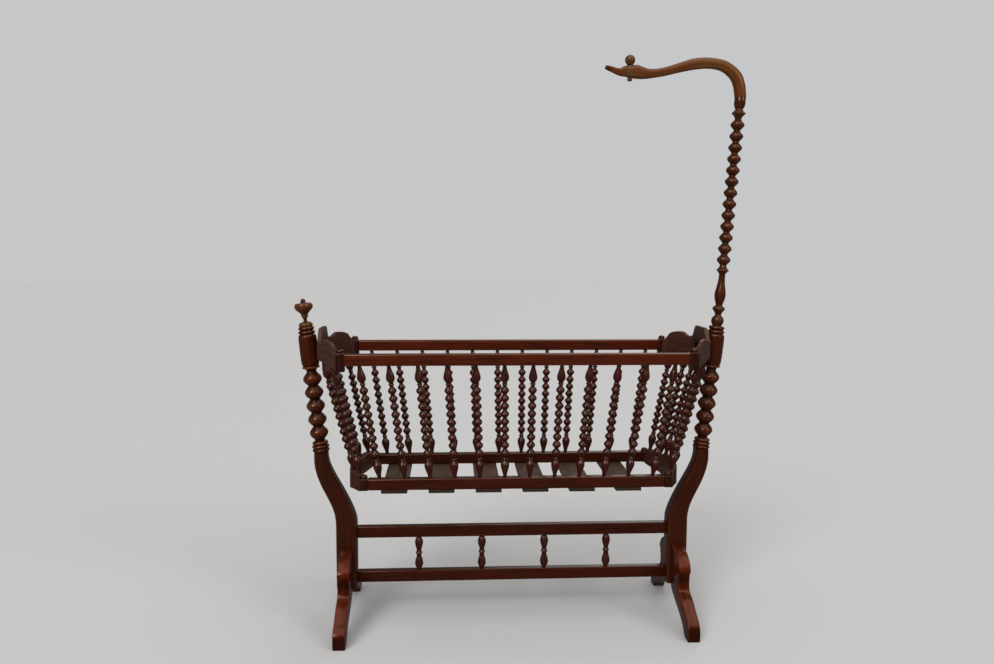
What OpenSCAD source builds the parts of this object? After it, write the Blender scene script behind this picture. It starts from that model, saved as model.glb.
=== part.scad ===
// Swinging cradle on a stand, in turned and carved hardwood.
// The basket hangs on two iron pins between beaded posts. The right post carries a tall
// beaded pole with a swan-neck arm, whose peg holds the curtain over the child's head.
// X runs along the cradle, -Y is the front, Z is up. Z = 0 is the floor, and X = 0 is the
// middle of the whole outline, so the stand itself is set back by frame_x.

/* [Stand] */
// Distance between the middles of the two leg bases
stand_span = 984; // [940:2:1080]
// Height of the leg's top, where the turned post begins
leg_top_z = 502; // [490:1:520]
// Height of the leg's underside above the floor
leg_foot_z = 92; // [80:1:100]
// Width of the leg below its bend
leg_w = 60; // [54:1:68]
// Width of the leg's top
leg_top_w = 38; // [36:1:48]
// Depth of the leg from front to back
leg_d = 52; // [46:1:60]
// How far the bend carries the leg's top outwards
leg_sweep = 71; // [55:1:85]
// Height of the middle of the lower stretcher
lower_stretcher_z = 125; // [118:1:135]
// Height of the middle of the upper stretcher
upper_stretcher_z = 260; // [240:1:280]
// Height of a stretcher's section
stretcher_h = 34; // [28:1:38]
// Thickness of a stretcher's section
stretcher_t = 24; // [20:1:30]
// Number of small spindles between the stretchers
spindle_count = 4; // [2:1:6]
// Distance from one small spindle to the next
spindle_pitch = 187; // [120:1:190]

/* [Feet] */
// Distance between the toes, front to back
foot_spread = 436; // [410:2:480]
// Thickness of a foot
foot_w = 34; // [28:1:44]
// Height of the foot's scrolled back where it meets the leg
foot_h = 214; // [205:1:225]

/* [Posts] */
// Outward lean of the posts, in degrees
post_lean = 5.9; // [5:0.1:7]
// Radius of the large beads on the posts
post_bead_r = 26.5; // [23:0.5:29]
// Height of one large bead
post_bead_h = 39.7; // [36:0.1:41]
// Radius of the neck between two large beads
post_neck_r = 14; // [13:0.5:17]
// Largest radius of the post's barrel
barrel_r = 26; // [24:0.5:28]
// Length of the post's barrel
barrel_h = 90; // [86:1:96]
// Outward lean of the pole in the right post, in degrees
pole_lean = 4.2; // [3:0.1:6]

/* [Canopy arm] */
// Radius of the beads on the pole
pole_bead_r = 19; // [17:0.5:21]
// Height of one bead on the pole
pole_bead_h = 32.5; // [30:0.1:34]
// Number of beads on the pole
pole_bead_count = 13; // [9:1:15]
// Reach of the swan neck from the pole's top to the tip of the beak
swan_reach = 394; // [360:1:420]
// Depth of the swan neck from front to back, at its thickest
swan_d = 30; // [26:1:36]
// Radius of the curtain peg's shank
peg_r = 5; // [4:0.5:6]

/* [Basket] */
// Height of the pins that the basket swings on
pivot_z = 820; // [816:1:826]
// Length of the top frame over its corner blocks
top_l = 988; // [960:2:1000]
// Width of the top frame
top_w = 374; // [350:2:400]
// Reach of the top end boards from the middle
top_reach = 559; // [548:1:560]
// Width of the flat board in the middle of each top end
top_end_w = 150; // [130:2:170]
// Length of the bottom frame over its corner blocks
bottom_l = 876; // [850:2:890]
// Width of the bottom frame
bottom_w = 306; // [290:2:330]
// Reach of the bottom end boards from the middle
bottom_reach = 474; // [460:1:478]
// Width of the flat board in the middle of each bottom end
bottom_end_w = 124; // [110:2:140]
// Depth of the basket, from the top of the rail to the underside of the bottom rail
basket_h = 383; // [370:1:400]
// Height of a rail's section
rail_h = 32; // [28:1:36]
// Thickness of a rail's section
rail_t = 26; // [22:1:30]
// Thickness of the end boards
board_t = 20; // [18:1:24]
// Side of the square corner blocks
block_w = 24; // [22:1:30]
// Number of balusters on each long side
side_balusters = 12; // [8:1:14]
// Distance from a top corner block to the middle of the nearest baluster
top_inset = 38.8; // [20:0.2:60]
// Distance between balusters along a top rail
top_pitch = (top_l - 2 * block_w - 2 * top_inset) / (side_balusters - 1);
// Distance from a bottom corner block to the middle of the nearest baluster
bottom_inset = 31.2; // [20:0.2:60]
// Distance between balusters along a bottom rail
bottom_pitch = (bottom_l - 2 * block_w - 2 * bottom_inset) / (side_balusters - 1);
// Radius of the small beads on the balusters
bead_r = 10.9; // [9:0.1:11.4]
// Number of small beads on each baluster
bead_count = 9; // [7:1:9]
// Number of slats in the floor of the basket
slat_count = 6; // [4:1:6]
// Distance from a bottom corner block to the middle of the nearest slat, before slat_offset
slat_inset = 86.5; // [70:0.5:120]
// Distance from one slat to the next
slat_pitch = (bottom_l - 2 * block_w - 2 * slat_inset) / (slat_count - 1);
// Width of a slat
slat_w = 72; // [50:1:90]
// Thickness of a slat
slat_t = 9; // [7:0.5:12]

/* [Fits] */
// Radius of the iron pivot pins
pin_r = 5; // [4:0.5:6]
// Radial clearance of the turning fits
run_fit = 0.08; // [0.03:0.01:0.1]
// Clearance of the glued joints, on each side
glue_fit = 0.05; // [0.02:0.01:0.1]
// Gap between pieces that move past each other
side_gap = 0.4; // [0.3:0.1:0.8]
// Gap between an end board and the post's barrel, at the height of the pins
pivot_gap = 10.862; // [10:0.001:16]

/* [Hidden] */
$fn = 48;

// wood and iron as the finish shows them
post_wood = "#5a2d17";
rail_wood = "#6b3018";
bead_wood = "#54281a";
board_wood = "#5a3a34";
pale_wood = "#8a5f35";
slat_wood = "#6b5a4a";
iron = "#2a2724";

// leg
bend_h = 217;
bend_bottom_z = leg_top_z - bend_h;
leg_x = stand_span / 2;
// the posts stand pivot_gap outside the end boards, and leg_slope makes up what leg_sweep leaves
post_x = top_reach + pivot_gap + barrel_r - (pivot_z - leg_top_z) * tan(post_lean);
leg_slope = post_x - leg_x - leg_sweep;
slope_bottom_z = upper_stretcher_z + stretcher_h;
leg_top_d = leg_d - 6;
leg_edge_r = 10;
leg_step = 12;
leg_over = 12;
drop_r = 10;
drop_h = 10;
post_tenon_r = 12;
post_tenon_l = 50;
stretcher_tenon_l = 26;
tenon_shoulder = 5;
dowel_r = 5;
dowel_l = 36;
dowel_z = [112, 178];

// post, measured along its axis from the leg's top
bead_land = 0.6;
post_collar_r = 24.8;
post_collar_h = 32;
post_beads_s = post_collar_h + 5;
post_bead_count = 5;
barrel_s = post_beads_s + post_bead_count * post_bead_h + 18.5;
ring_s = barrel_s + barrel_h + 2;
ring_h = 11.5;
ring_count = 2;
post_h = ring_s + ring_count * ring_h;
socket_depth = 38;
plug_r = 11;
finial_plug_r = 8;

// pole, measured along its own axis from the right post's top
pole_neck_r = 9.8;
pole_foot_h = 178;
pole_head_s = pole_foot_h + pole_bead_count * pole_bead_h;
ferrule_r = 14.6;
pole_h = pole_head_s + 61;
arm_tenon_r = 9;
arm_tenon_l = 28;

// swan neck as drawn, before it is brought to swan_reach: x and z from the top of the pole,
// half height, and half depth as a share of swan_d
swan_drawn = [
  [0, 0, 16.6, 0.5], [-1.5, 16, 17, 0.5], [-5, 36, 17.4, 0.5], [-13, 57, 17.6, 0.5],
  [-28, 76, 17.2, 0.5], [-50, 89.5, 16.8, 0.48], [-75, 96.4, 16.4, 0.46], [-104, 98, 15, 0.44],
  [-135, 93.5, 13.2, 0.4], [-164, 86.5, 11, 0.37], [-193, 77.8, 8.8, 0.34],
  [-222, 69.5, 8.5, 0.34], [-249, 65.3, 11.6, 0.36], [-270, 64.3, 15, 0.4], [-288, 67, 18.8, 0.42],
  [-304, 69.8, 20.6, 0.42], [-320, 69, 17.4, 0.37], [-336, 69.8, 15.8, 0.32],
  [-348, 67.9, 10.9, 0.26], [-361, 69.4, 7.8, 0.2], [-376, 75, 6, 0.16], [-388, 79.5, 5, 0.14],
  [-394, 82, 3.6, 0.1]
];
swan_scale = swan_reach / -swan_drawn[len(swan_drawn) - 1][0];
swan_path = [for (p = swan_drawn) [p[0] * swan_scale, p[1] * swan_scale, p[2] * swan_scale, p[3]]];
// the peg goes through the head, a little before its thickest point
swan_head = swan_path[16];
peg_before = 3;
peg_under = 9.6;
peg_over = 14.6;
peg_x = swan_head[0] - peg_before;
peg_bottom_z = swan_head[1] - swan_head[2] - peg_under;
peg_ball_z = swan_head[1] + swan_head[2] + peg_over;
peg_ball_r = 14.3;
// how far a cut runs past what it cuts
cut_past = 200;

// basket
top_z = pivot_z - 10;
rail_under_z = top_z - rail_h;
bottom_z = top_z - basket_h;
bottom_rail_top_z = bottom_z + rail_h;
rail_edge_r = 5;
board_top = 57;
board_valley = 21;
board_hump = 32;
board_low = 2;
board_under_z = top_z - 30;
wing_under_z = top_z - 46;
block_under_z = top_z - 48;
knob_r = 10;
bottom_board_h = 62;
bottom_board_z = bottom_z - 17;
bottom_wing_z = bottom_z - 5;
bottom_lift = 0.34;
baluster_neck_r = 5.2;
baluster_tenon = 14;
vase_h = 59.5;
vase_r = 11;
end_balusters = 6;
rail_tenon = 10;
bush_r = 8;
bush_flange_r = 12;
bush_flange_t = 2;
pin_knob_r = 7.5;
pin_knob_l = 9;
pin_end = 4;
nail_r = 1.3;
nail_l = 26;
nail_head_r = 3;
nail_head_h = 1;
nail_gap = 36;
slat_offset = -15;

// the whole outline is centred on X = 0
reach_left = post_x + (post_h + 55) * sin(post_lean) + 26;
reach_right = post_x + post_h * sin(post_lean) + pole_h * sin(pole_lean) + 17;
frame_x = (reach_right - reach_left) / 2;

function smooth(t) = let (u = min(max(t, 0), 1)) u * u * (3 - 2 * u);
function mix(a, b, t) = a + (b - a) * t;
function between(a, b, c, d, t) =
  0.5 * (2 * b + (c - a) * t + (2 * a - 5 * b + 4 * c - d) * t * t + (3 * b - a - 3 * c + d) * t * t * t);
// a smooth curve through the points of p, with n steps from one point to the next
function curve(p, n) = [
  for (i = [0:len(p) - 2])
    let (a = p[max(i - 1, 0)], b = p[i], c = p[i + 1], d = p[min(i + 2, len(p) - 1)])
      for (k = [0:n - 1]) between(a, b, c, d, k / n),
  p[len(p) - 1]
];
function reverse(p) = [for (i = [len(p) - 1:-1:0]) p[i]];

module in_frame() {
  translate([-frame_x, 0, 0]) children();
}

// places its children along the line from a to b, with +Z towards b
module along(a, b) {
  v = b - a;
  translate(a) rotate([0, acos(v[2] / norm(v)), atan2(v[1], v[0])]) children();
}

module on_post(side) {
  translate([side * post_x, 0, leg_top_z]) rotate([0, side * post_lean, 0]) children();
}

// the pole stands in the right post's head, less tilted than the post
pole_foot = [post_x + post_h * sin(post_lean), 0, leg_top_z + post_h * cos(post_lean)];

module on_pole() {
  translate(pole_foot) rotate([0, pole_lean, 0]) children();
}

module mirrored(sx, sy) {
  mirror([sx < 0 ? 1 : 0, 0, 0]) mirror([0, sy > 0 ? 1 : 0, 0]) children();
}

// skin over a list of closed rings with the same number of points
module loft(rings) {
  n = len(rings[0]);
  m = len(rings);
  polyhedron(
    points = [for (r = rings) for (p = r) p],
    faces = concat(
      [[for (k = [0:n - 1]) k]],
      [
        for (i = [0:m - 2]) for (k = [0:n - 1]) let (a = i * n + k, b = i * n + (k + 1) % n)
          each [[a, a + n, b + n], [a, b + n, b]]
      ],
      [[for (k = [n - 1:-1:0]) (m - 1) * n + k]]
    )
  );
}

// ---- turned work -------------------------------------------------------------------

// half profile from radius and height pairs, closed on the axis
module half_profile(p) {
  polygon(concat([[0, p[0][1]]], p, [[0, p[len(p) - 1][1]]]));
}

// count beads on a core in the half plane, with a narrow land between them:
// each is an arc, r wide in the middle and neck wide where it meets the core
module beads(r, neck, h, count) {
  chord = h - bead_land;
  arc_x = (r * r - neck * neck - chord * chord / 4) / (2 * (r - neck));
  square([neck, count * h]);
  for (i = [0:count - 1]) intersection() {
    translate([arc_x, (i + 0.5) * h]) circle(r - arc_x);
    translate([0, i * h]) square([r + 1, h]);
  }
}

module post_profile() {
  // three rings on the leg, then the large beads
  beads(post_collar_r, post_collar_r - 5, post_collar_h / 3, 2);
  translate([0, 2 * post_collar_h / 3]) beads(post_collar_r - 2.5, post_collar_r - 6, post_collar_h / 3, 1);
  translate([0, post_collar_h - 1]) square([post_neck_r, barrel_s - post_collar_h - 7]);
  translate([0, post_beads_s]) beads(post_bead_r, post_neck_r, post_bead_h, post_bead_count);
  // thin disc and barrel
  half_profile(concat(
    [[post_neck_r + 0.6, barrel_s - 12], [post_neck_r + 4, barrel_s - 8]],
    [[post_collar_r, barrel_s - 6], [post_collar_r, barrel_s - 2], [barrel_r - 4.5, barrel_s]],
    curve([
      [barrel_r - 4, barrel_s + 2], [barrel_r - 1, barrel_s + 10],
      [barrel_r, barrel_s + 28], [barrel_r, barrel_s + 60], [barrel_r - 0.6, barrel_s + barrel_h - 5],
      [barrel_r - 3, barrel_s + barrel_h]
    ], 3)
  ));
  translate([0, barrel_s + barrel_h - 1]) square([barrel_r - 7.5, 4]);
  translate([0, ring_s]) beads(barrel_r - 2, barrel_r - 6, ring_h, 1);
  translate([0, ring_s + ring_h]) beads(barrel_r - 3.4, barrel_r - 7, ring_h, ring_count - 1);
}

// body of a post along its axis, with the tenon that stands in the leg
module post_body() {
  rotate_extrude() post_profile();
  translate([0, 0, -post_tenon_l]) cylinder(r = post_tenon_r, h = post_tenon_l + 5);
}

module pin_bore(side) {
  inner = post_x + (pivot_z - leg_top_z) * tan(post_lean) - barrel_r - 10;
  along([side * inner, 0, pivot_z], [side * (inner + 40), 0, pivot_z])
    cylinder(r = pin_r + glue_fit, h = 40);
}

module left_post() {
  color(post_wood) difference() {
    on_post(-1) post_body();
    on_post(-1) translate([0, 0, post_h - socket_depth]) cylinder(r = finial_plug_r, h = socket_depth + 1);
    pin_bore(-1);
  }
}

// the right post's head is cut square to the pole, whose socket follows the pole's lean
module right_post() {
  color(post_wood) difference() {
    on_post(1) union() {
      post_body();
      translate([0, 0, post_h - 1]) cylinder(r = barrel_r - 7.5, h = 3);
    }
    on_pole() translate([-60, -60, 0]) cube([120, 120, 20]);
    on_pole() translate([0, 0, -socket_depth]) cylinder(r = plug_r + run_fit, h = socket_depth + 1);
    pin_bore(1);
  }
}

module finial() {
  color(pale_wood) on_post(-1) translate([0, 0, post_h]) {
    rotate_extrude() half_profile(concat(
      curve([[18.5, 0], [19.8, 4], [18.5, 9], [13, 12], [6.5, 13.5]], 3),
      curve([[5.2, 16.5], [5.4, 21], [7.5, 26]], 3),
      [[9.6, 28.5], [9.9, 31], [8.6, 33]],
      curve([[9.4, 34], [14, 41], [22, 48], [26, 55], [25.6, 60], [21, 66]], 4),
      curve([[7.6, 66.5], [7, 70], [6, 75], [1.5, 79]], 3)
    ));
    translate([0, 0, 2 - socket_depth]) cylinder(r = finial_plug_r - glue_fit, h = socket_depth);
  }
}

module spindle_bore_line(i) {
  x = (i - (spindle_count + 1) / 2) * spindle_pitch;
  along([x, 0, lower_stretcher_z + stretcher_h / 2], [x, 0, upper_stretcher_z - stretcher_h / 2])
    children();
}

spindle_h = upper_stretcher_z - lower_stretcher_z - stretcher_h;

// small spindle: a vase, a ring and a vase turned over
module stretcher_spindle(i) {
  color(bead_wood) spindle_bore_line(i) {
    mid = spindle_h / 2;
    for (flip = [0, 1]) translate([0, 0, flip * spindle_h]) mirror([0, 0, flip])
      rotate_extrude() half_profile(concat(
        curve([[5.5, 0], [8, 6], [11, 0.18 * spindle_h], [9, 0.3 * spindle_h], [5, 0.42 * spindle_h]], 4),
        [[5, mid - 5], [8, mid - 4], [9, mid]]
      ));
    translate([0, 0, -12]) cylinder(r = 5 - glue_fit, h = spindle_h + 24);
  }
}

// ---- stand -------------------------------------------------------------------------

function leg_mid_x(z) =
  leg_x + leg_sweep * smooth((z - bend_bottom_z) / (leg_top_z - leg_over - bend_bottom_z))
  + leg_slope * smooth((z - slope_bottom_z) / (leg_top_z - leg_over - slope_bottom_z));
function leg_width(z) = mix(leg_top_w, leg_w - 5 * smooth((z - bend_bottom_z) / 60), smooth((leg_top_z - z) / 120));
function leg_depth(z) = mix(leg_top_d, leg_d, smooth((leg_top_z - z) / 180));

function leg_ring(z) = [
  for (q = [0:3]) for (k = [0:3])
    let (
      a = 90 * q + 30 * k,
      sx = q == 0 || q == 3 ? 1 : -1,
      sy = q < 2 ? 1 : -1
    )
    [
      leg_mid_x(z) + sx * (leg_width(z) / 2 - leg_edge_r) + leg_edge_r * cos(a),
      sy * (leg_depth(z) / 2 - leg_edge_r) + leg_edge_r * sin(a), z
    ]
];

leg_end_z = leg_top_z + leg_over;
leg_steps = round((leg_end_z - leg_foot_z) / leg_step);

// S-shaped leg, cut square to the post, with mortises, dowel holes and a turned drop
module leg(side) {
  color(post_wood) mirrored(side, -1) difference() {
    union() {
      loft([for (i = [0:leg_steps]) leg_ring(mix(leg_foot_z, leg_end_z, i / leg_steps))]);
      translate([leg_x, 0, leg_foot_z - drop_h]) cylinder(r1 = drop_r - 4, r2 = drop_r, h = drop_h + 1);
    }
    on_post(1) translate([-60, -60, -glue_fit]) cube([120, 120, 60]);
    on_post(1) translate([0, 0, -post_tenon_l - 1]) cylinder(r = post_tenon_r + glue_fit, h = post_tenon_l + 2);
    for (z = [lower_stretcher_z, upper_stretcher_z]) stretcher_tenon(z, 6, glue_fit);
    for (sy = [-1, 1]) for (z = dowel_z) foot_dowel(sy, z, glue_fit);
  }
}

// tenon at a stretcher's right end, from back before the leg's face, grown by grow on each side
module stretcher_tenon(z, back, grow) {
  w = stretcher_t - 2 * tenon_shoulder + 2 * grow;
  h = stretcher_h - 2 * tenon_shoulder + 2 * grow;
  translate([leg_x - leg_w / 2 - back, -w / 2, z - h / 2])
    cube([stretcher_tenon_l + back + 8 * grow, w, h]);
}

module stretcher(z) {
  shoulder = leg_x - leg_w / 2 - glue_fit;
  color(rail_wood) difference() {
    union() {
      translate([-shoulder, -stretcher_t / 2, z - stretcher_h / 2])
        cube([2 * shoulder, stretcher_t, stretcher_h]);
      for (s = [-1, 1]) mirrored(s, -1) stretcher_tenon(z, 2, 0);
    }
    for (i = [1:spindle_count]) spindle_bore_line(i)
      translate([0, 0, -13]) cylinder(r = 5, h = spindle_h + 26);
  }
}

foot_reach = foot_spread / 2;
foot_face = leg_d / 2;

// outline of a foot seen from the side: distance out from the middle, and height
foot_back = [
  [foot_face, foot_h - 3], [foot_face + 20, foot_h - 4], [foot_face + 46, foot_h - 10],
  [foot_face + 70, foot_h - 23], [foot_face + 84, foot_h - 38], [foot_face + 89, foot_h - 51]
];
foot_step = [
  [foot_face + 84, foot_h - 54], [foot_face + 78, foot_h - 68], [foot_face + 76, foot_h - 86],
  [foot_face + 79, foot_h - 104], [foot_face + 85, foot_h - 112], [foot_face + 94, foot_h - 116]
];
foot_toe = [
  [foot_face + 94, foot_h - 116], [foot_reach - 74, 88], [foot_reach - 50, 73], [foot_reach - 30, 61],
  [foot_reach - 15, 53], [foot_reach - 5, 42], [foot_reach, 26], [foot_reach - 1, 8], [foot_reach - 3, 0]
];
foot_arch = [
  [foot_reach - 42, 0], [foot_reach - 52, 14], [foot_reach - 70, 28], [foot_reach - 100, 43],
  [foot_reach - 140, 58], [foot_face + 24, 70], [foot_face, 84]
];

module foot(side, sy) {
  color(post_wood) difference() {
    translate([side * leg_x, 0, 0]) rotate([90, 0, sy > 0 ? 90 : -90])
      translate([0, 0, -foot_w / 2]) linear_extrude(foot_w) polygon(concat(
        curve(foot_back, 3), curve(foot_step, 3), curve(foot_toe, 3), curve(foot_arch, 3)
      ));
    for (z = dowel_z) mirrored(side, -1) foot_dowel(sy, z, glue_fit);
  }
}

// one dowel between the right leg and a foot
module foot_dowel(sy, z, grow) {
  half = dowel_l / 2 + 10 * grow;
  translate([leg_x, sy * foot_face, z]) rotate([90, 0, 0])
    translate([0, 0, -half]) cylinder(r = dowel_r + grow, h = 2 * half);
}

module foot_dowels() {
  color(pale_wood) for (s = [-1, 1]) mirrored(s, -1)
    for (sy = [-1, 1]) for (z = dowel_z) foot_dowel(sy, z, 0);
}

// ---- canopy arm --------------------------------------------------------------------

module pole() {
  color(post_wood) on_pole() difference() {
    union() {
      rotate_extrude() {
        // ball, ring and vase at the foot
        translate([0, side_gap]) half_profile(concat(
          [[13, 0], [13.5, 1.5]],
          curve([[13.5, 2.5], [17.3, 9], [18, 15.5], [16, 22], [11.5, 28], [9, 31]], 3),
          [[9, 35], [13, 42], [18, 49.5], [18, 52], [12.5, 58]],
          curve([[9.5, 61], [11.5, 68], [14.8, 80], [15.9, 91], [14, 106], [10.4, 128], [8.9, 147]], 3),
          [[9, 152], [12.5, 158], [17.6, 163], [17.6, 165], [12.5, 170], [10, pole_foot_h]]
        ));
        translate([0, 10]) square([pole_bead_r / 3, pole_head_s]);
        translate([0, pole_foot_h + side_gap])
          beads(pole_bead_r, pole_neck_r, pole_bead_h, pole_bead_count);
        // ring, neck and ferrule at the head
        translate([0, side_gap]) half_profile([
          [pole_neck_r - 1, pole_head_s - 1], [pole_neck_r - 1, pole_head_s + 2],
          [13, pole_head_s + 8], [19.5, pole_head_s + 15.5], [19.5, pole_head_s + 18],
          [12, pole_head_s + 26], [11, pole_head_s + 29], [ferrule_r, pole_head_s + 34],
          [ferrule_r + 0.4, pole_head_s + 48], [ferrule_r, pole_h - side_gap]
        ]);
      }
      translate([0, 0, glue_fit - socket_depth]) cylinder(r = plug_r, h = socket_depth + 2);
    }
    translate([0, 0, pole_h - arm_tenon_l - 1]) cylinder(r = arm_tenon_r + glue_fit, h = arm_tenon_l + 2);
  }
}

arm_foot = pole_foot + pole_h * [sin(pole_lean), 0, cos(pole_lean)];
swan_line = curve(swan_path, 3);

function swan_heading(i) =
  i == 0 ? 90 - pole_lean
    : let (a = swan_line[max(i - 1, 0)], b = swan_line[min(i + 1, len(swan_line) - 1)])
      atan2(b[1] - a[1], b[0] - a[0]);

function swan_ring(i) =
  let (p = swan_line[i], h = swan_heading(i))
    [
      for (k = [0:13]) let (a = 360 * k / 14, u = p[2] * cos(a), v = p[3] * swan_d * sin(a))
        [p[0] + u * sin(h), v, p[1] - u * cos(h)]
    ];

module swan_neck() {
  color(pale_wood) difference() {
    union() {
      translate(arm_foot) loft([for (i = [0:len(swan_line) - 1]) swan_ring(i)]);
      on_pole() translate([0, 0, pole_h - arm_tenon_l])
        cylinder(r = arm_tenon_r, h = arm_tenon_l + 8);
    }
    translate(arm_foot + [peg_x, 0, 0]) cylinder(r = peg_r + glue_fit, h = cut_past);
  }
}

module curtain_peg() {
  color(pale_wood) translate(arm_foot + [peg_x, 0, 0]) {
    rotate_extrude() half_profile(concat(
      curve([[1.5, peg_bottom_z], [6.5, peg_bottom_z + 2], [8, peg_bottom_z + 5], [peg_r, peg_bottom_z + 7]], 3),
      [[peg_r, peg_bottom_z + 8], [peg_r, peg_ball_z - 13.8], [8, peg_ball_z - 12.6], [8, peg_ball_z - 11]],
      [for (a = [-48:12:84]) [peg_ball_r * cos(a), peg_ball_z + peg_ball_r * sin(a)]]
    ));
  }
}

// ---- basket frame ------------------------------------------------------------------

// section of a rail with its top edges rounded, outer face at Y = 0
module rail_section(h) {
  square([rail_t, h - rail_edge_r]);
  translate([rail_edge_r, 0]) square([rail_t - 2 * rail_edge_r, h]);
  for (y = [rail_edge_r, rail_t - rail_edge_r]) translate([y, h - rail_edge_r]) circle(rail_edge_r);
}

// rail along X at the front, between two corner blocks
module rail(length, width, under_z) {
  inside = length / 2 - block_w;
  translate([0, -width / 2, under_z]) {
    rotate([90, 0, 90]) translate([0, 0, glue_fit - inside])
      linear_extrude(2 * (inside - glue_fit)) rail_section(rail_h);
    rail_tenons(inside, 0);
  }
}

module rail_tenons(inside, grow) {
  for (s = [-1, 1]) mirrored(s, -1) translate([inside - 1, 7 - grow, 7 - grow])
    cube([rail_tenon + 1 + 5 * grow, 12 + 2 * grow, rail_h - 14 + 2 * grow]);
}

function side_top(i) = [
  (i - (side_balusters + 1) / 2) * top_pitch, (rail_t - top_w) / 2, rail_under_z
];
function side_bottom(i) = [
  (i - (side_balusters + 1) / 2) * bottom_pitch, (rail_t - bottom_w) / 2, bottom_rail_top_z
];

// corners of the outline in plan, for the front right quarter
top_wing_start = [top_l / 2, -top_w / 2 + 9];
top_wing_end = [top_reach, -top_end_w / 2];
bottom_wing_start = [bottom_l / 2, -bottom_w / 2 + 7];
bottom_wing_end = [bottom_reach, -bottom_end_w / 2];

// where end baluster k stands: distance from the middle of the end along its centre line
function wing_dir(a, b) = (a - b) / norm(a - b);
// how much shorter the middle board is on its inner face, at each mitred end
function mitre(start, corner) = let (d = wing_dir(start, corner)) board_t * tan(-(atan2(d[1], d[0]) + 90) / 2);
function end_s(k, start, corner) =
  (k - (end_balusters + 1) / 2) * 2 * (norm(start - corner) - corner[1]) / end_balusters;
function end_point(k, start, corner, z) =
  let (
    d = wing_dir(start, corner), inward = [d[1], -d[0]], s = end_s(k, start, corner),
    m = abs(s) <= -corner[1]
      ? [corner[0] - board_t / 2, -abs(s)]
      : corner + d * (abs(s) + corner[1]) + inward * board_t / 2
  )
    [m[0], s < 0 ? m[1] : -m[1], z];

// serpentine edge: height above the rail at distance s from the middle of the end
function crest(s, half) =
  s < 38 ? board_top
    : s < half + 5 ? mix(board_top, board_valley, smooth((s - 38) / (half - 33)))
      : s < half + 17 ? board_valley
        : s < half + 45 ? mix(board_valley, board_hump, smooth((s - half - 17) / 28))
          : mix(board_hump, board_low, smooth((s - half - 45) / 65));

// an end baluster stands on the lower boards' edge and ends under the upper boards
function end_top(k) =
  let (s = abs(end_s(k, top_wing_start, top_wing_end)), half = -top_wing_end[1])
    end_point(k, top_wing_start, top_wing_end, mix(
      board_under_z, wing_under_z, max(0, (s - half) / norm(top_wing_start - top_wing_end))
    ));
function end_bottom(k) =
  let (s = abs(end_s(k, bottom_wing_start, bottom_wing_end)), half = -bottom_wing_end[1])
    end_point(k, bottom_wing_start, bottom_wing_end, bottom_rail_top_z + bottom_lift * crest(s, half));

// turned baluster standing from its bottom point to its top point
module baluster(bottom, top) {
  h = norm(top - bottom);
  beads_h = h - 2 * vase_h;
  along(bottom, top) rotate_extrude() {
    translate([0, -baluster_tenon]) square([baluster_neck_r, h + 2 * baluster_tenon]);
    for (flip = [0, 1]) translate([0, flip * h]) mirror([0, flip]) {
      half_profile(concat(
        [[baluster_neck_r - 0.1, 1]],
        curve([
          [baluster_neck_r, 4], [7, 11], [9.8, 21], [vase_r, 30], [9.2, 40], [5.8, 48.5]
        ], 2)
      ));
      translate([0, vase_h - 9]) beads(7.6, baluster_neck_r, 5, 1);
    }
    for (i = [0:bead_count - 1]) intersection() {
      translate([0, vase_h + (i + 0.5) * beads_h / bead_count]) circle(bead_r);
      translate([0, vase_h]) square([bead_r + 1, beads_h]);
    }
  }
}

module baluster_bores(bottom, top) {
  h = norm(top - bottom);
  r = baluster_neck_r + glue_fit;
  along(bottom, top) rotate(37) {
    translate([0, 0, -baluster_tenon - 0.5]) cylinder(r = r, h = baluster_tenon + 6);
    translate([0, 0, h - 6]) cylinder(r = r, h = baluster_tenon + 6.5);
  }
}

module side_baluster_row(sy) {
  color(bead_wood) mirrored(1, sy)
    for (i = [1:side_balusters]) baluster(side_bottom(i), side_top(i));
}

module end_baluster_row(side) {
  color(bead_wood) mirrored(side, -1)
    for (k = [1:end_balusters]) baluster(end_bottom(k), end_top(k));
}

module top_rail(sy) {
  color(rail_wood) mirrored(1, sy) difference() {
    rail(top_l, top_w, rail_under_z);
    for (i = [1:side_balusters]) baluster_bores(side_bottom(i), side_top(i));
  }
}

module bottom_rail(sy) {
  color(rail_wood) mirrored(1, sy) difference() {
    rail(bottom_l, bottom_w, bottom_z);
    for (i = [1:side_balusters]) baluster_bores(side_bottom(i), side_top(i));
    for (i = [1:slat_count]) for (x = [-1, 1]) slat_nail(i, x, glue_fit);
  }
}

// square block at a corner, with a round knob on top
module block(length, width, under_z, rail_z, over) {
  color(board_wood) difference() {
    union() {
      translate([length / 2 - block_w, -width / 2, under_z])
        cube([block_w, block_w, rail_z + rail_h + over - under_z]);
      translate([length / 2 - block_w / 2, -width / 2 + block_w / 2, rail_z + rail_h + over])
        sphere(r = knob_r);
    }
    translate([0, -width / 2, rail_z]) rail_tenons(length / 2 - block_w, glue_fit);
  }
}

module top_block(sx, sy) {
  mirrored(sx, sy) block(top_l, top_w, block_under_z, rail_under_z, 2);
}

module bottom_block(sx, sy) {
  mirrored(sx, sy) block(bottom_l, bottom_w, bottom_z - 1, bottom_z, 0);
}

// plan of a canted board from the block to the mitre on the middle board
module wing_plan(start, corner) {
  d = wing_dir(start, corner);
  polygon([
    corner - [0, glue_fit], start, start + [d[1], -d[0]] * board_t,
    corner + [-board_t, mitre(start, corner) - glue_fit]
  ]);
}

// side view of a board: x is the distance s along the end, y the height
module board_face(s0, s1, half, lift, rail_z, under0, under1) {
  n = 24;
  polygon(concat(
    [for (i = [0:n]) let (s = mix(s0, s1, i / n)) [s, rail_z + lift * crest(abs(s), half)]],
    [[s1, under1], [s0, under0]]
  ));
}

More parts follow.
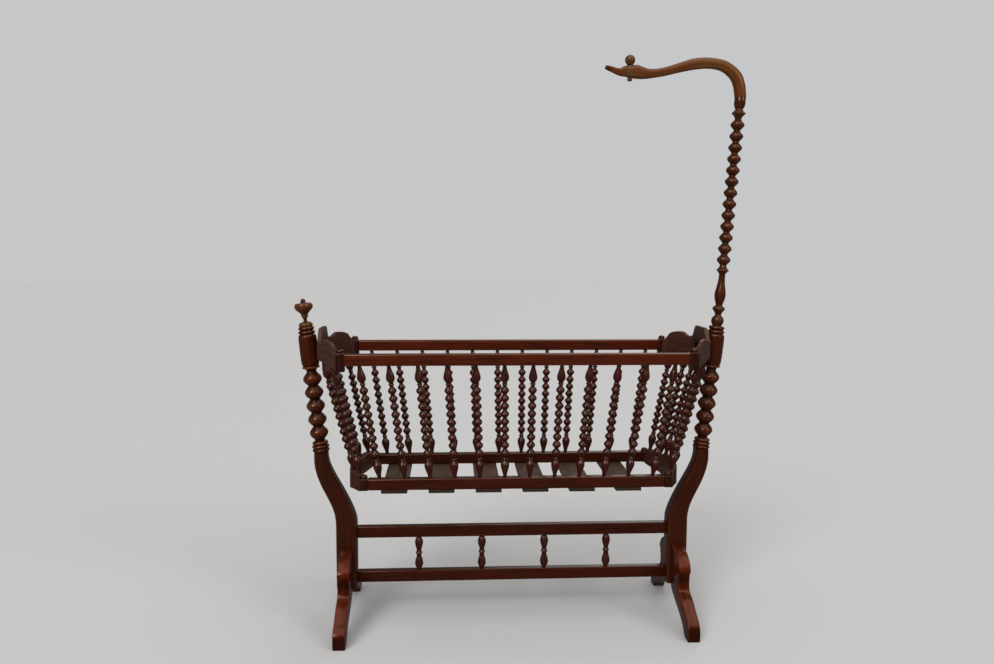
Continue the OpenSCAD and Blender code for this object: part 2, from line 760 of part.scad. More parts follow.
module wing(start, corner, lift, rail_z, under0, under1, footprint) {
  d = wing_dir(start, corner);
  half = -corner[1];
  run = norm(start - corner);
  difference() {
    intersection() {
      linear_extrude(pivot_z + cut_past) wing_plan(start, corner);
      translate([corner[0], corner[1], 0]) rotate([90, 0, atan2(d[1], d[0])])
        translate([-half, 0, -2 * board_t]) linear_extrude(4 * board_t)
          board_face(half - 20, half + run + 30, half, lift, rail_z, under0, under1);
    }
    translate([footprint[0] - block_w - glue_fit, -footprint[1] - glue_fit, 0])
      cube([block_w + 2 * glue_fit, block_w + 2 * glue_fit, pivot_z + cut_past]);
  }
}

module top_wing(sx, sy) {
  color(board_wood) difference() {
    mirrored(sx, sy) wing(
      top_wing_start, top_wing_end, 1, top_z, board_under_z + 4, wing_under_z - 4, [top_l / 2, top_w / 2]
    );
    end_bores(sx);
  }
}

module bottom_wing(sx, sy) {
  color(board_wood) difference() {
    mirrored(sx, sy) wing(
      bottom_wing_start, bottom_wing_end, bottom_lift, bottom_rail_top_z, bottom_board_z,
      bottom_wing_z, [bottom_l / 2, bottom_w / 2]
    );
    end_bores(sx);
  }
}

module end_bores(side) {
  mirrored(side, -1) for (k = [1:end_balusters]) baluster_bores(end_bottom(k), end_top(k));
}

// middle board of an end, mitred to the canted boards beside it
module middle_board(start, corner, lift, rail_z, under) {
  half = -corner[1];
  inner = half - mitre(start, corner);
  intersection() {
    linear_extrude(pivot_z + cut_past) polygon([
      [corner[0], -half], [corner[0], half], [corner[0] - board_t, inner], [corner[0] - board_t, -inner]
    ]);
    translate([corner[0], 0, 0]) rotate([90, 0, 90]) translate([0, 0, -2 * board_t])
      linear_extrude(4 * board_t) union() {
        board_face(-half - 5, 0, half, lift, rail_z, under, under);
        board_face(0, half + 5, half, lift, rail_z, under, under);
      }
  }
}

module end_board(side) {
  color(board_wood) difference() {
    mirrored(side, -1) middle_board(top_wing_start, top_wing_end, 1, top_z, board_under_z);
    end_bores(side);
    mirrored(side, -1) along([top_reach - board_t - 1, 0, pivot_z], [top_reach, 0, pivot_z])
      cylinder(r = bush_r + glue_fit, h = board_t + 2);
  }
}

module bottom_board(side) {
  color(board_wood) difference() {
    mirrored(side, -1) middle_board(
      bottom_wing_start, bottom_wing_end, bottom_lift, bottom_rail_top_z, bottom_board_z
    );
    end_bores(side);
  }
}

// ---- pivots ------------------------------------------------------------------------

module pivot_bush(side) {
  color(iron) mirrored(side, -1)
    along([top_reach - board_t - bush_flange_t, 0, pivot_z], [top_reach, 0, pivot_z]) difference() {
      union() {
        cylinder(r = bush_flange_r, h = bush_flange_t - glue_fit);
        cylinder(r = bush_r, h = board_t + bush_flange_t);
      }
      translate([0, 0, -1]) cylinder(r = pin_r + run_fit, h = board_t + bush_flange_t + 2);
    }
}

// iron pin, fast in the post, with a round knob that keeps the basket in the middle
module pivot_pin(side) {
  post_face = post_x + (pivot_z - leg_top_z) * tan(post_lean) - barrel_r;
  tip = top_reach - board_t - bush_flange_t - pin_end;
  color(iron) mirrored(side, -1) along([tip, 0, pivot_z], [top_reach, 0, pivot_z]) {
    cylinder(r = pin_r, h = post_face - tip + barrel_r - 2);
    translate([0, 0, top_reach - tip + side_gap]) rotate_extrude() half_profile([
      [pin_r + 0.5, 0], [pin_knob_r, 2], [pin_knob_r, pin_knob_l - 3], [pin_r + 0.5, pin_knob_l]
    ]);
  }
}

// ---- floor of the basket -----------------------------------------------------------

function slat_x(i) = (i - (slat_count + 1) / 2) * slat_pitch + slat_offset;

// one nail of slat i at the front rail, on the left or right of the slat
module slat_nail(i, x, grow) {
  translate([slat_x(i) + x * nail_gap / 2, (rail_t - bottom_w) / 2, bottom_z - slat_t]) {
    cylinder(r = nail_r + grow, h = nail_l + 10 * grow);
    translate([0, 0, -nail_head_h - glue_fit]) cylinder(r = nail_head_r, h = nail_head_h);
  }
}

module slat(i) {
  color(slat_wood) difference() {
    translate([slat_x(i) - slat_w / 2, -bottom_w / 2, bottom_z - slat_t])
      cube([slat_w, bottom_w, slat_t - glue_fit]);
    for (sy = [-1, 1]) mirrored(1, sy) for (x = [-1, 1])
      translate([slat_x(i) + x * nail_gap / 2, (rail_t - bottom_w) / 2, bottom_z - slat_t - 1])
        cylinder(r = nail_r + glue_fit, h = slat_t + 2);
  }
}

module slat_nails() {
  color(iron) for (sy = [-1, 1]) mirrored(1, sy)
    for (i = [1:slat_count]) for (x = [-1, 1]) slat_nail(i, x, 0);
}

in_frame() leg(-1);  // left_leg
in_frame() leg(1);  // right_leg
in_frame() left_post();
in_frame() right_post();
in_frame() finial();
in_frame() foot(-1, -1);  // front_left_foot
in_frame() foot(-1, 1);  // back_left_foot
in_frame() foot(1, -1);  // front_right_foot
in_frame() foot(1, 1);  // back_right_foot
in_frame() foot_dowels();
in_frame() stretcher(upper_stretcher_z);  // upper_stretcher
in_frame() stretcher(lower_stretcher_z);  // lower_stretcher
for (i = [1:spindle_count])
  in_frame() stretcher_spindle(i);
in_frame() pivot_pin(-1);  // left_pivot_pin
in_frame() pivot_pin(1);  // right_pivot_pin
in_frame() pole();
in_frame() swan_neck();
in_frame() curtain_peg();
in_frame() top_rail(-1);  // front_top_rail
in_frame() top_rail(1);  // back_top_rail
in_frame() bottom_rail(-1);  // front_bottom_rail
in_frame() bottom_rail(1);  // back_bottom_rail
for (c = [["front_left", -1, -1], ["back_left", -1, 1], ["front_right", 1, -1], ["back_right", 1, 1]]) {
  in_frame() top_block(c[1], c[2]);
  in_frame() bottom_block(c[1], c[2]);
  in_frame() top_wing(c[1], c[2]);
  in_frame() bottom_wing(c[1], c[2]);
}
in_frame() end_board(-1);  // left_end_board
in_frame() end_board(1);  // right_end_board
in_frame() bottom_board(-1);  // left_bottom_board
in_frame() bottom_board(1);  // right_bottom_board
in_frame() pivot_bush(-1);  // left_pivot_bush
in_frame() pivot_bush(1);  // right_pivot_bush
in_frame() side_baluster_row(-1);  // front_balusters
in_frame() side_baluster_row(1);  // back_balusters
in_frame() end_baluster_row(-1);  // left_end_balusters
in_frame() end_baluster_row(1);  // right_end_balusters
for (i = [1:slat_count])
  in_frame() slat(i);
in_frame() slat_nails();
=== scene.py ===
import math

import bpy
import numpy as np
from mathutils import Matrix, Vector
from numpy.linalg import norm


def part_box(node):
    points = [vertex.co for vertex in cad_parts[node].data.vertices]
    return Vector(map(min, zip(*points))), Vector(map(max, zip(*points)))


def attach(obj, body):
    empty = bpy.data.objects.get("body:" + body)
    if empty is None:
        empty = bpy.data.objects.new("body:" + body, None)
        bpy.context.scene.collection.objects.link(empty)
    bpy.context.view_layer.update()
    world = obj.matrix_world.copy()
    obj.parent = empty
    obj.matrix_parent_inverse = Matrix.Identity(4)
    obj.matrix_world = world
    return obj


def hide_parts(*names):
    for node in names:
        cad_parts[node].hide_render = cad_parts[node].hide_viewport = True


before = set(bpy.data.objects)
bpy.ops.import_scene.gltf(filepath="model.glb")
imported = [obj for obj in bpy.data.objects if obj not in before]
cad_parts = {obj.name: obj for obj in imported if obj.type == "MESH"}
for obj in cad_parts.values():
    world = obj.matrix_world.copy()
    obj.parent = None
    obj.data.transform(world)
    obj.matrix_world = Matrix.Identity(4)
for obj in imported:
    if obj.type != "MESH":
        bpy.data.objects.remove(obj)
scene = bpy.context.scene
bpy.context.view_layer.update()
stretcherLow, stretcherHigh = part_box("upper_stretcher")
# X = 0 is the middle of the whole outline, and the stand's middle is a little left of it
standMiddle = (stretcherLow.x + stretcherHigh.x) / 2 * 1000
print("frame loaded, stand's middle at", round(standMiddle, 2), "mm")

# the cradle's sizes are in millimetres, measured from the middle of the stand at ground level
up = np.array([0.0, 0.0, 1.0])
leftRight, frontBack = ((-1, "left"), (1, "right")), ((-1, "front"), (1, "back"))
rng = np.random.default_rng(7)


def smoothStep(t):
    # 0 to 1 with level ends: t squared times (3 - 2t)
    t = np.clip(t, 0, 1)
    return t * t * (3 - 2 * t)


def mix(a, b, t):
    # straight blend: a, plus t times the way from a to b
    return a + (b - a) * t


def flowing(points, steps):
    # smooth curve through the points: a cubic between each two, its slope taken from their neighbours
    p = np.asarray(points, float)
    ends = np.vstack([p[:1], p, p[-1:]])
    a, b, c, d = (ends[i : i + len(p) - 1, None] for i in range(4))
    t = (np.arange(steps) / steps)[None, :, None]
    cubic = 0.5 * (2 * b + (c - a) * t + (2 * a - 5 * b + 4 * c - d) * t**2 + (3 * b - a - 3 * c + d) * t**3)
    return np.vstack([cubic.reshape(-1, p.shape[1]), p[-1:]])


def beadRow(radius, neck, start, height, count, steps, fullness):
    # radius and height pairs for a row of beads: each swells from neck to radius and back as a cosine
    # wave does, raised to fullness, below 1 for a rounder bead with a narrower groove
    t = np.linspace(0, 1, steps, endpoint=False) + 0.5 / steps
    swell = (0.5 - 0.5 * np.cos(2 * math.pi * t)) ** fullness
    one = np.stack([neck + (radius - neck) * swell, height * t], 1)
    shift = np.stack([np.zeros(count), start + height * np.arange(count)], 1)
    return (one[None] + shift[:, None]).reshape(-1, 2)


def inItsOwnTimber(grain, reach=400):
    # the grain's place moved by up to reach each way, so that no two pieces show the same streaks
    return grain + rng.uniform(-reach, reach, 3)


def roundedRectangle(width, depth, radius, steps=5):
    # centres of the corner arcs and the way out from them, once round the section
    quarter = np.arange(4)[:, None]
    angle = (quarter * 90 + np.linspace(0, 90, steps)[None]).ravel() * math.pi / 180
    signX = np.repeat([1, -1, -1, 1], steps)
    signY = np.repeat([1, 1, -1, -1], steps)
    centres = np.stack([signX * (width / 2 - radius), signY * (depth / 2 - radius)], 1)
    return centres, np.stack([np.cos(angle), np.sin(angle)], 1) * radius


def gridFaces(rows, around):
    # quads between each ring of points and the next
    i, k = np.meshgrid(np.arange(rows - 1), np.arange(around), indexing="ij")
    nextK = (k + 1) % around
    quads = [i * around + k, i * around + nextK, (i + 1) * around + nextK, (i + 1) * around + k]
    return np.stack(quads, -1).reshape(-1, 4)


def closedShell(rings, grain, wearAndPaintedLight):
    # skin over rings of points, with a flat or domed face of its own over each end
    rows, around = rings.shape[:2]
    firstRing = np.arange(around)
    return {
        "points": rings.reshape(-1, 3), "quads": gridFaces(rows, around),
        "ends": np.stack([firstRing[::-1], firstRing + (rows - 1) * around]),
        "grain": grain.reshape(-1, 3), "wearAndPaintedLight": wearAndPaintedLight.ravel(),
    }


def insideOut(shell):
    # the same shell with every face's corners in the other order
    return {**shell, "quads": shell["quads"][:, ::-1], "ends": shell["ends"][:, ::-1]}


def outward(shell):
    # turns a shell's faces round if its volume, the sum of the cones over them from its middle, is negative
    p = shell["points"] - shell["points"].mean(0)
    volume = 0.0
    for faces in (shell["quads"], shell["ends"]):
        first, second, third = p[faces[:, :1]], p[faces[:, 1:-1]], p[faces[:, 2:]]
        volume += (first * np.cross(second, third)).sum()
    return shell if volume > 0 else insideOut(shell)


def mirroredShell(shell, axis):
    # the same shell seen in a mirror across axis 0 or 1, with its faces still pointing out
    flip = np.ones(3)
    flip[axis] = -1
    grain = inItsOwnTimber(shell["grain"], 300)
    return insideOut({**shell, "points": shell["points"] * flip, "grain": grain})


def quartered(shell, side, sideY=-1):
    # a shell made for the right front, moved to the side and face asked for
    shell = mirroredShell(shell, 0) if side < 0 else shell
    return mirroredShell(shell, 1) if sideY > 0 else shell


def turned(profile, foot, head, around):
    # circles of radius r at height s along the line from foot to head
    axis = (head - foot) / norm(head - foot)
    side = np.cross(axis, [0.0, 1.0, 0.0] if abs(axis[1]) < 0.9 else [1.0, 0.0, 0.0])
    side /= norm(side)
    angle = np.arange(around) * 2 * math.pi / around
    ring = np.cos(angle)[:, None] * side + np.sin(angle)[:, None] * np.cross(axis, side)
    r, s = profile[:, 0], profile[:, 1]
    points = foot + s[:, None, None] * axis + r[:, None, None] * ring[None]
    # wear and painted light: each radius against the mean of those near it, high on crests for worn wood and
    # painted highlight, low in grooves for painted shade
    reach = 0.35 * r.max()
    weight = np.exp(-(((s[:, None] - s[None]) / reach) ** 2)) * np.gradient(s).clip(0.05)[None]
    wearAndPaintedLight = np.clip(0.5 + (r - weight @ r / weight.sum(1)) / reach, 0, 1)
    local = np.stack([
        r[:, None] * np.cos(angle), r[:, None] * np.sin(angle), np.repeat(s[:, None], around, 1)
    ], -1)
    return closedShell(points, inItsOwnTimber(local), np.repeat(wearAndPaintedLight[:, None], around, 1))


def easedEnds(length, ease, steps):
    # places along a bar and how far its section draws in there: a quarter round at each end
    t = np.linspace(0, math.pi / 2, steps)
    first = np.stack([ease * (1 - np.sin(t[::-1])), ease * (1 - np.cos(t[::-1]))], 1)
    last = np.stack([length - first[::-1, 0], first[::-1, 1]], 1)
    return np.vstack([first, last])


barSizes = {"endSteps": 5, "widestEase": 2.5, "endReach": 4}


def bar(start, end, width, depth, radius, sideways=(0, 1, 0), rows=2):
    # rounded rectangle carried from start to end, with eased ends; width runs along sideways
    start, end = np.asarray(start, float), np.asarray(end, float)
    length = norm(end - start)
    axis = (end - start) / length
    first = np.asarray(sideways, float)
    second = np.cross(axis, first)
    centres, out = roundedRectangle(width, depth, radius)
    steps, reach = barSizes["endSteps"], barSizes["endReach"]
    places = easedEnds(length, min(radius, barSizes["widestEase"]), steps)
    middle = np.stack([np.linspace(reach, length - reach, rows + 2)[1:-1], np.zeros(rows)], 1)
    places = np.vstack([places[:steps], middle, places[steps:]])
    section = centres[None] + out[None] * (1 - places[:, 1] / radius)[:, None, None]
    rings = start + places[:, 0, None, None] * axis + section[..., :1] * first + section[..., 1:] * second
    grain = np.concatenate([section, np.repeat(places[:, :1, None], len(out), 1)], 2)
    # rounded edges take a paler crest colour: wear, with painted highlight
    onArc = np.abs(out[:, 0] * out[:, 1]) / radius**2
    wearAndPaintedLight = np.repeat(0.5 + 0.5 * np.clip(onArc, 0, 0.5)[None], len(places), 0)
    return closedShell(rings, inItsOwnTimber(grain), wearAndPaintedLight)


def lofted(outer, inner, width, radius, place, dim=0.0):
    # rounded rectangles that each span from a point of the inner curve to its partner on the outer one,
    # carried across the width; place(u, v, depth) says where a point lies, and dim how much painted shade
    # each row takes
    span = norm(outer - inner, axis=1)[:, None]
    way = (outer - inner) / span
    r = np.minimum(radius, 0.45 * span)
    # arc centres at 1 from the middle, to be spread to each rectangle
    corner, out = roundedRectangle(4, 4, 1)
    height = corner[:, 0] * (span / 2 - r) + out[:, 0] * r
    depth = width / 2 + corner[:, 1] * (width / 2 - r) + out[:, 1] * r
    flat = (outer + inner)[:, None] / 2 + way[:, None] * height[..., None]
    run = np.cumsum(norm(np.gradient(outer, axis=0), axis=1))
    grain = np.stack([height, depth, np.repeat(run[:, None], len(corner), 1)], -1)
    arc = np.clip(np.abs(out[:, 0] * out[:, 1]) * 2, 0, 1)
    # the outer rounded edge is paler, wear with painted highlight, and dim lowers the value as painted shade
    wearAndPaintedLight = np.broadcast_to(0.5 + 0.22 * arc * (corner[:, 0] > 0) - np.reshape(dim, (-1, 1)), height.shape)
    return closedShell(place(flat[..., 0], flat[..., 1], depth), inItsOwnTimber(grain), wearAndPaintedLight)


def newObject(name, data):
    # an object that shows the data, linked to the scene
    made = bpy.data.objects.new(name, data)
    scene.collection.objects.link(made)
    return made


def makePiece(name, shells, material, body, replaced, sharpAngle=33):
    # joins shells into one mesh in the row frame, in metres, and says what it rides on and stands for
    offsets = np.cumsum([0] + [len(s["points"]) for s in shells])[:-1]
    points = np.vstack([s["points"] for s in shells]) + [standMiddle, 0, 0]
    faces = []
    for shell, offset in zip(shells, offsets):
        faces += (shell["quads"] + offset).tolist() + (shell["ends"] + offset).tolist()
    mesh = bpy.data.meshes.new(name)
    mesh.from_pydata((points * 0.001).tolist(), [], faces)
    grain = mesh.attributes.new("grain", "FLOAT_VECTOR", "POINT")
    grain.data.foreach_set("vector", (np.vstack([s["grain"] for s in shells]) * 0.001).ravel())
    wearAndPaintedLight = mesh.attributes.new("wearAndPaintedLight", "FLOAT", "POINT")
    wearAndPaintedLight.data.foreach_set("value", np.concatenate([s["wearAndPaintedLight"] for s in shells]).ravel())
    mesh.shade_smooth()
    mesh.set_sharp_from_angle(angle=math.radians(sharpAngle))
    mesh.materials.append(material)
    piece = newObject(name, mesh)
    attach(piece, body)
    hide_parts(*replaced)


def srgb(hexCode):
    # hex colour as seen on a screen, turned to the linear light that shaders mix
    channels = np.array([int(hexCode[i : i + 2], 16) for i in (1, 3, 5)]) / 255
    linear = np.where(channels <= 0.04045, channels / 12.92, ((channels + 0.055) / 1.055) ** 2.4)
    return (*linear.tolist(), 1.0)


def addNode(tree, kind, links=None, out=0, **settings):
    # adds a shader node, sets it up, fills its sockets with values or other nodes' outputs, returns an output
    node = tree.nodes.new("ShaderNode" + kind)
    for key, value in settings.items():
        setattr(node, key, value)
    for socket, source in (links or {}).items():
        if isinstance(source, bpy.types.NodeSocket):
            tree.links.new(source, node.inputs[socket])
        else:
            node.inputs[socket].default_value = source
    return node.outputs[out] if node.outputs else None


def setStops(colour, stops):
    # gives a colour ramp its stops: a colour at each place, blended straight between them
    ramp = colour.node.color_ramp
    while len(ramp.elements) < len(stops):
        ramp.elements.new(0.5)
    for element, (position, shade) in zip(ramp.elements, stops):
        element.position = position
        element.color = srgb(shade)


def emptyMaterial(name):
    # a material with no nodes yet, and its node tree
    material = bpy.data.materials.new(name)
    material.use_nodes = True
    material.node_tree.nodes.clear()
    return material, material.node_tree


def woodFinish(name, **changes):
    # varnished timber: streaks stretched along the grain, clouds of stain and open pores, with the attribute
    # of wear and painted light turning crests paler (worn bare wood and painted highlight) and laying painted
    # shade in the grooves
    look = {**stainedLook, **changes}
    material, tree = emptyMaterial(name)
    grain = addNode(tree, "Attribute", out="Vector", attribute_name="grain")
    wearAndPaintedLight = addNode(tree, "Attribute", out="Fac", attribute_name="wearAndPaintedLight")

    def stretched(across, along, detail, distortion=0.0):
        # one unit of the noise is across mm wide and along mm long
        scale = (1000 / across, 1000 / across, 1000 / along)
        return addNode(tree, "TexNoise", {
            "Vector": addNode(tree, "Mapping", {"Vector": grain, "Scale": scale}),
            "Scale": 1.0, "Detail": detail, "Roughness": 0.55, "Distortion": distortion,
        })

    streaks = stretched(look["streakMm"], look["streakLongMm"], 5.0, 0.6)
    clouds = stretched(look["cloudMm"], look["cloudMm"] * 2.2, 2.0)
    pores = stretched(look["poreMm"], look["poreMm"] * 16, 2.0)
    body = addNode(tree, "ValToRGB", {"Fac": streaks})
    setStops(body, [(0.3, look["dark"]), (0.5, look["middle"]), (0.72, look["light"])])
    cloudShare = addNode(tree, "MapRange", {"Value": clouds, "From Min": 0.42, "From Max": 0.68})
    # the colour mix takes its sockets by index, because their names repeat
    stained = addNode(tree, "Mix", {0: cloudShare, 6: body, 7: srgb(look["cloud"])}, 2, data_type="RGBA")
    # painted shade: where the attribute is low, in grooves, recesses and undersides, the colour darkens
    groove = addNode(tree, "MapRange", {
        "Value": wearAndPaintedLight, "From Min": 0.05, "From Max": look["grooveReach"], "To Min": look["grooveDark"],
    })
    poreDark = addNode(tree, "MapRange", {
        "Value": pores, "From Min": 0.3, "From Max": 0.4, "To Min": look["poreDark"],
    })
    shade = addNode(tree, "Math", {0: groove, 1: poreDark}, operation="MULTIPLY")
    darkened = addNode(tree, "VectorMath", {0: stained, "Scale": shade}, operation="SCALE")
    # painted highlight with wear: where the attribute is high, on crests and edges, the colour turns paler
    crest = addNode(tree, "MapRange", {
        "Value": wearAndPaintedLight, "From Min": 0.62, "From Max": 0.95, "To Max": look["crestShare"],
    })
    worn = addNode(tree, "Mix", {0: crest, 6: darkened, 7: srgb(look["crest"])}, 2, data_type="RGBA")
    roughness = addNode(tree, "MapRange", {
        "Value": clouds, "From Min": 0.35, "From Max": 0.7,
        "To Min": look["roughness"] - 0.05, "To Max": look["roughness"] + 0.09,
    })
    height = addNode(tree, "Math", {0: pores, 1: streaks}, operation="ADD")
    bump = addNode(tree, "Bump", {"Height": height, "Strength": look["bump"], "Distance": 0.0004})
    shader = addNode(tree, "BsdfPrincipled", {
        "Base Color": worn, "Roughness": roughness, "IOR": 1.5, "Normal": bump,
        "Specular Tint": srgb(look["tint"]), "Coat Weight": look["coat"],
        "Coat Roughness": look["coatRoughness"], "Coat IOR": 1.5,
    })
    addNode(tree, "OutputMaterial", {"Surface": shader})
    return material


def ironFinish(name, look):
    # old forged iron: near black, blotched with brown rust, slightly pitted
    material, tree = emptyMaterial(name)
    place = addNode(tree, "TexCoord", out="Object")
    blotch = addNode(tree, "TexNoise", {"Vector": place, "Scale": 1000 / look["blotchMm"], "Detail": 6.0})
    colour = addNode(tree, "ValToRGB", {"Fac": blotch})
    setStops(colour, [(0.35, look["dark"]), (0.55, look["middle"]), (0.75, look["rust"])])
    roughness = addNode(tree, "MapRange", {"Value": blotch, "To Min": 0.35, "To Max": 0.75})
    bump = addNode(tree, "Bump", {"Height": blotch, "Strength": 0.4, "Distance": 0.0004})
    shader = addNode(tree, "BsdfPrincipled", {
        "Base Color": colour, "Metallic": 0.7, "Roughness": roughness, "Normal": bump,
    })
    addNode(tree, "OutputMaterial", {"Surface": shader})
    return material


# dark stained walnut, turned or planed and French polished with amber shellac: red-brown, painted shade
# nearly black in the grooves, orange on crests where hands wore it and as painted highlight, with small warm
# highlights
stainedLook = {
    "dark": "#2a1008", "middle": "#471c0e", "light": "#65300f", "cloud": "#521408", "crest": "#8a4a1e",
    "streakMm": 5, "streakLongMm": 90, "cloudMm": 55, "poreMm": 0.7, "poreDark": 0.75,
    "grooveDark": 0.22, "grooveReach": 0.5, "crestShare": 0.45, "roughness": 0.3, "tint": "#ffbb88",
    "coat": 0.35, "coatRoughness": 0.1, "bump": 0.08,
}
# turned posts: painted shade reaching far from the grooves up each bead, and a paler orange crest, worn wood
# with painted highlight
postWood = woodFinish("postWalnutShellac", grooveReach=0.72, grooveDark=0.16, crest="#96521f",
    crestShare=0.5)
# the same walnut on the sawn legs, darker and plainer, with long soft streaks
legWood = woodFinish("legWalnutShellac", dark="#260d06", middle="#381508", light="#49200a",
    cloud="#400f06", crest="#6f3916", streakLongMm=160, cloudMm=90, poreDark=0.88, bump=0.1)
# small turnings, their painted shade deepest in the grooves, with clouds longer than a baluster, so that some
# are crimson and some brown
turnedWood = woodFinish("turnedWalnutShellac", streakMm=4, streakLongMm=60, cloudMm=95, dark="#1e0a05",
    middle="#37150c", light="#542a12", cloud="#440b10", crest="#6a3a22", crestShare=0.3, tint="#ffd0b0",
    bump=0.1, grooveDark=0.16)
# the pole, turned from a browner length of the same walnut
poleWood = woodFinish("poleWalnutShellac", streakMm=4, cloudMm=70, dark="#2a1107",
    middle="#45200e", light="#643614", cloud="#401208", crest="#7a4a26", crestShare=0.35, bump=0.1,
    grooveDark=0.3)
# planed top rails, redder, paler along their edges, polished by hands and with painted highlight
railWood = woodFinish("railWalnutShellac", dark="#2d0e06", middle="#48170a", light="#662a10",
    cloud="#541607", crestShare=0.3, cloudMm=80, poreDark=0.85, bump=0.12)
# planed lower rails and stretchers, which light and hands hardly reach, so nearly black brown
lowRailWood = woodFinish("lowRailWalnutShellac", dark="#200804", middle="#350f06", light="#4d1e0a",
    cloud="#3e0e04", crest="#643413", crestShare=0.2, cloudMm=80, poreDark=0.85, bump=0.12)
# carved feet under the thickest shellac, so orange-brown and the glossiest
footWood = woodFinish("footWalnutShellac", dark="#2b0a03", middle="#4b1506", light="#652609",
    cloud="#571805", crest="#924a18", streakMm=9, streakLongMm=140, cloudMm=60, poreDark=0.92, bump=0.06,
    roughness=0.26, tint="#ff9c6a", coat=0.26, coatRoughness=0.09)
# sawn end boards, their polish worn to a satin: grey-brown where bare, pale along the crest from wear and
# painted highlight
boardWood = woodFinish("boardWalnutWorn", dark="#2e1a12", middle="#46281c", light="#5e3a2a",
    cloud="#4c2a22", crest="#8f7a66", crestShare=0.55, roughness=0.42, tint="#ffd9bd", coat=0.15,
    coatRoughness=0.25, cloudMm=45, poreDark=0.85)
# square corner blocks and their knobs, dark red under a whole coat
blockWood = woodFinish("blockWalnutShellac", dark="#1a0805", middle="#2b0f09", light="#3d190f",
    cloud="#300c08", crest="#4e2a1c", crestShare=0.2, poreDark=0.9)
# fruitwood carved with a gouge and thinly shellacked: ochre brown with red clouds and soft highlights
paleWood = woodFinish("carvedFruitwoodShellac", dark="#4c2810", middle="#6a401a", light="#84582c",
    cloud="#6a3016", crest="#966c43", grooveDark=0.3, crestShare=0.35, streakMm=6, streakLongMm=110,
    roughness=0.38, coat=0.2, coatRoughness=0.2, poreDark=0.85)
# the same fruitwood turned, darkened by a hundred years of hands
finialWood = woodFinish("turnedFruitwoodShellac", dark="#3c1c08", middle="#563010", light="#6a4120",
    cloud="#5a270e", crest="#785232", grooveDark=0.2, crestShare=0.3, streakLongMm=60, cloudMm=30,
    poreDark=0.85)
# the curtain peg, fruitwood stained olive brown by the thumbs that touch its ball
pegWood = woodFinish("pegFruitwoodShellac", dark="#42230f", middle="#60421f", light="#76592f",
    cloud="#5e3c1e", crest="#7c6038", cloudMm=26, roughness=0.34, poreDark=0.9)
# sawn pine slats, left bare: grey-brown, dull and open pored
slatWood = woodFinish("slatPinePlain", dark="#3b2a20", middle="#523d2e", light="#68513f", cloud="#48352a",
    crest="#75634f", crestShare=0.3, roughness=0.6, tint="#ffe6d0", coat=0.0, streakMm=7, bump=0.35)
# turned beech dowels, bare, out of sight in the feet
dowelWood = woodFinish("dowelBeechPlain", dark="#8a6a48", middle="#a5825c", light="#bc9a72",
    cloud="#9c7a55", crest="#c4a57f", coat=0.0, roughness=0.6)
# forged iron, never painted: near black with brown rust in blotches, dull where rusted
iron = ironFinish("forgedIron", {"blotchMm": 6, "dark": "#141210", "middle": "#231e1a", "rust": "#3c2618"})
print("finishes made")

legSizes = {
    "middleX": 492, "sweep": 71, "bendBottom": 285, "bendTop": 490, "top": 502, "bottom": 92,
    "width": 60, "waist": 5, "waistReach": 60, "topWidth": 38, "topWidthReach": 120, "depth": 52,
    "topDepth": 46, "topDepthReach": 180, "edge": 9, "footEase": 3, "rows": 90, "tipFrom": 0.7,
    "dropRadius": 10, "dropHeight": 10,
}
postSizes = {
    "lean": math.radians(5.9), "collar": 24.8, "collarHeight": 32, "bead": 26.5, "beadHeight": 39.7,
    "neck": 14, "beads": 5, "neckHeight": 5, "discHeight": 18.5, "barrel": 26, "barrelHeight": 90,
    "barrelNeck": 2, "ringHeight": 11.5, "rings": 2, "finialBore": 8, "poleBore": 11,
}
postX = legSizes["middleX"] + legSizes["sweep"]
lean = postSizes["lean"]
beadFoot = postSizes["collarHeight"] + postSizes["neckHeight"]
barrelFoot = beadFoot + postSizes["beads"] * postSizes["beadHeight"] + postSizes["discHeight"]
ringFoot = barrelFoot + postSizes["barrelHeight"] + postSizes["barrelNeck"]
postHeight = ringFoot + postSizes["rings"] * postSizes["ringHeight"]


def onPost(side, s):
    # point at height s on a post's axis
    return np.array([side * (postX + s * math.sin(lean)), 0.0, legSizes["top"] + s * math.cos(lean)])


# the pole stands in the right post's head, less tilted than the post
poleSizes = {
    "lean": math.radians(4.2), "footHeight": 178, "bead": 19.6, "neck": 9, "beadHeight": 32.5, "beads": 13,
    "headHeight": 61, "gap": 0.4,
}
poleFoot = onPost(1, postHeight)
poleAxis = np.array([math.sin(poleSizes["lean"]), 0.0, math.cos(poleSizes["lean"])])


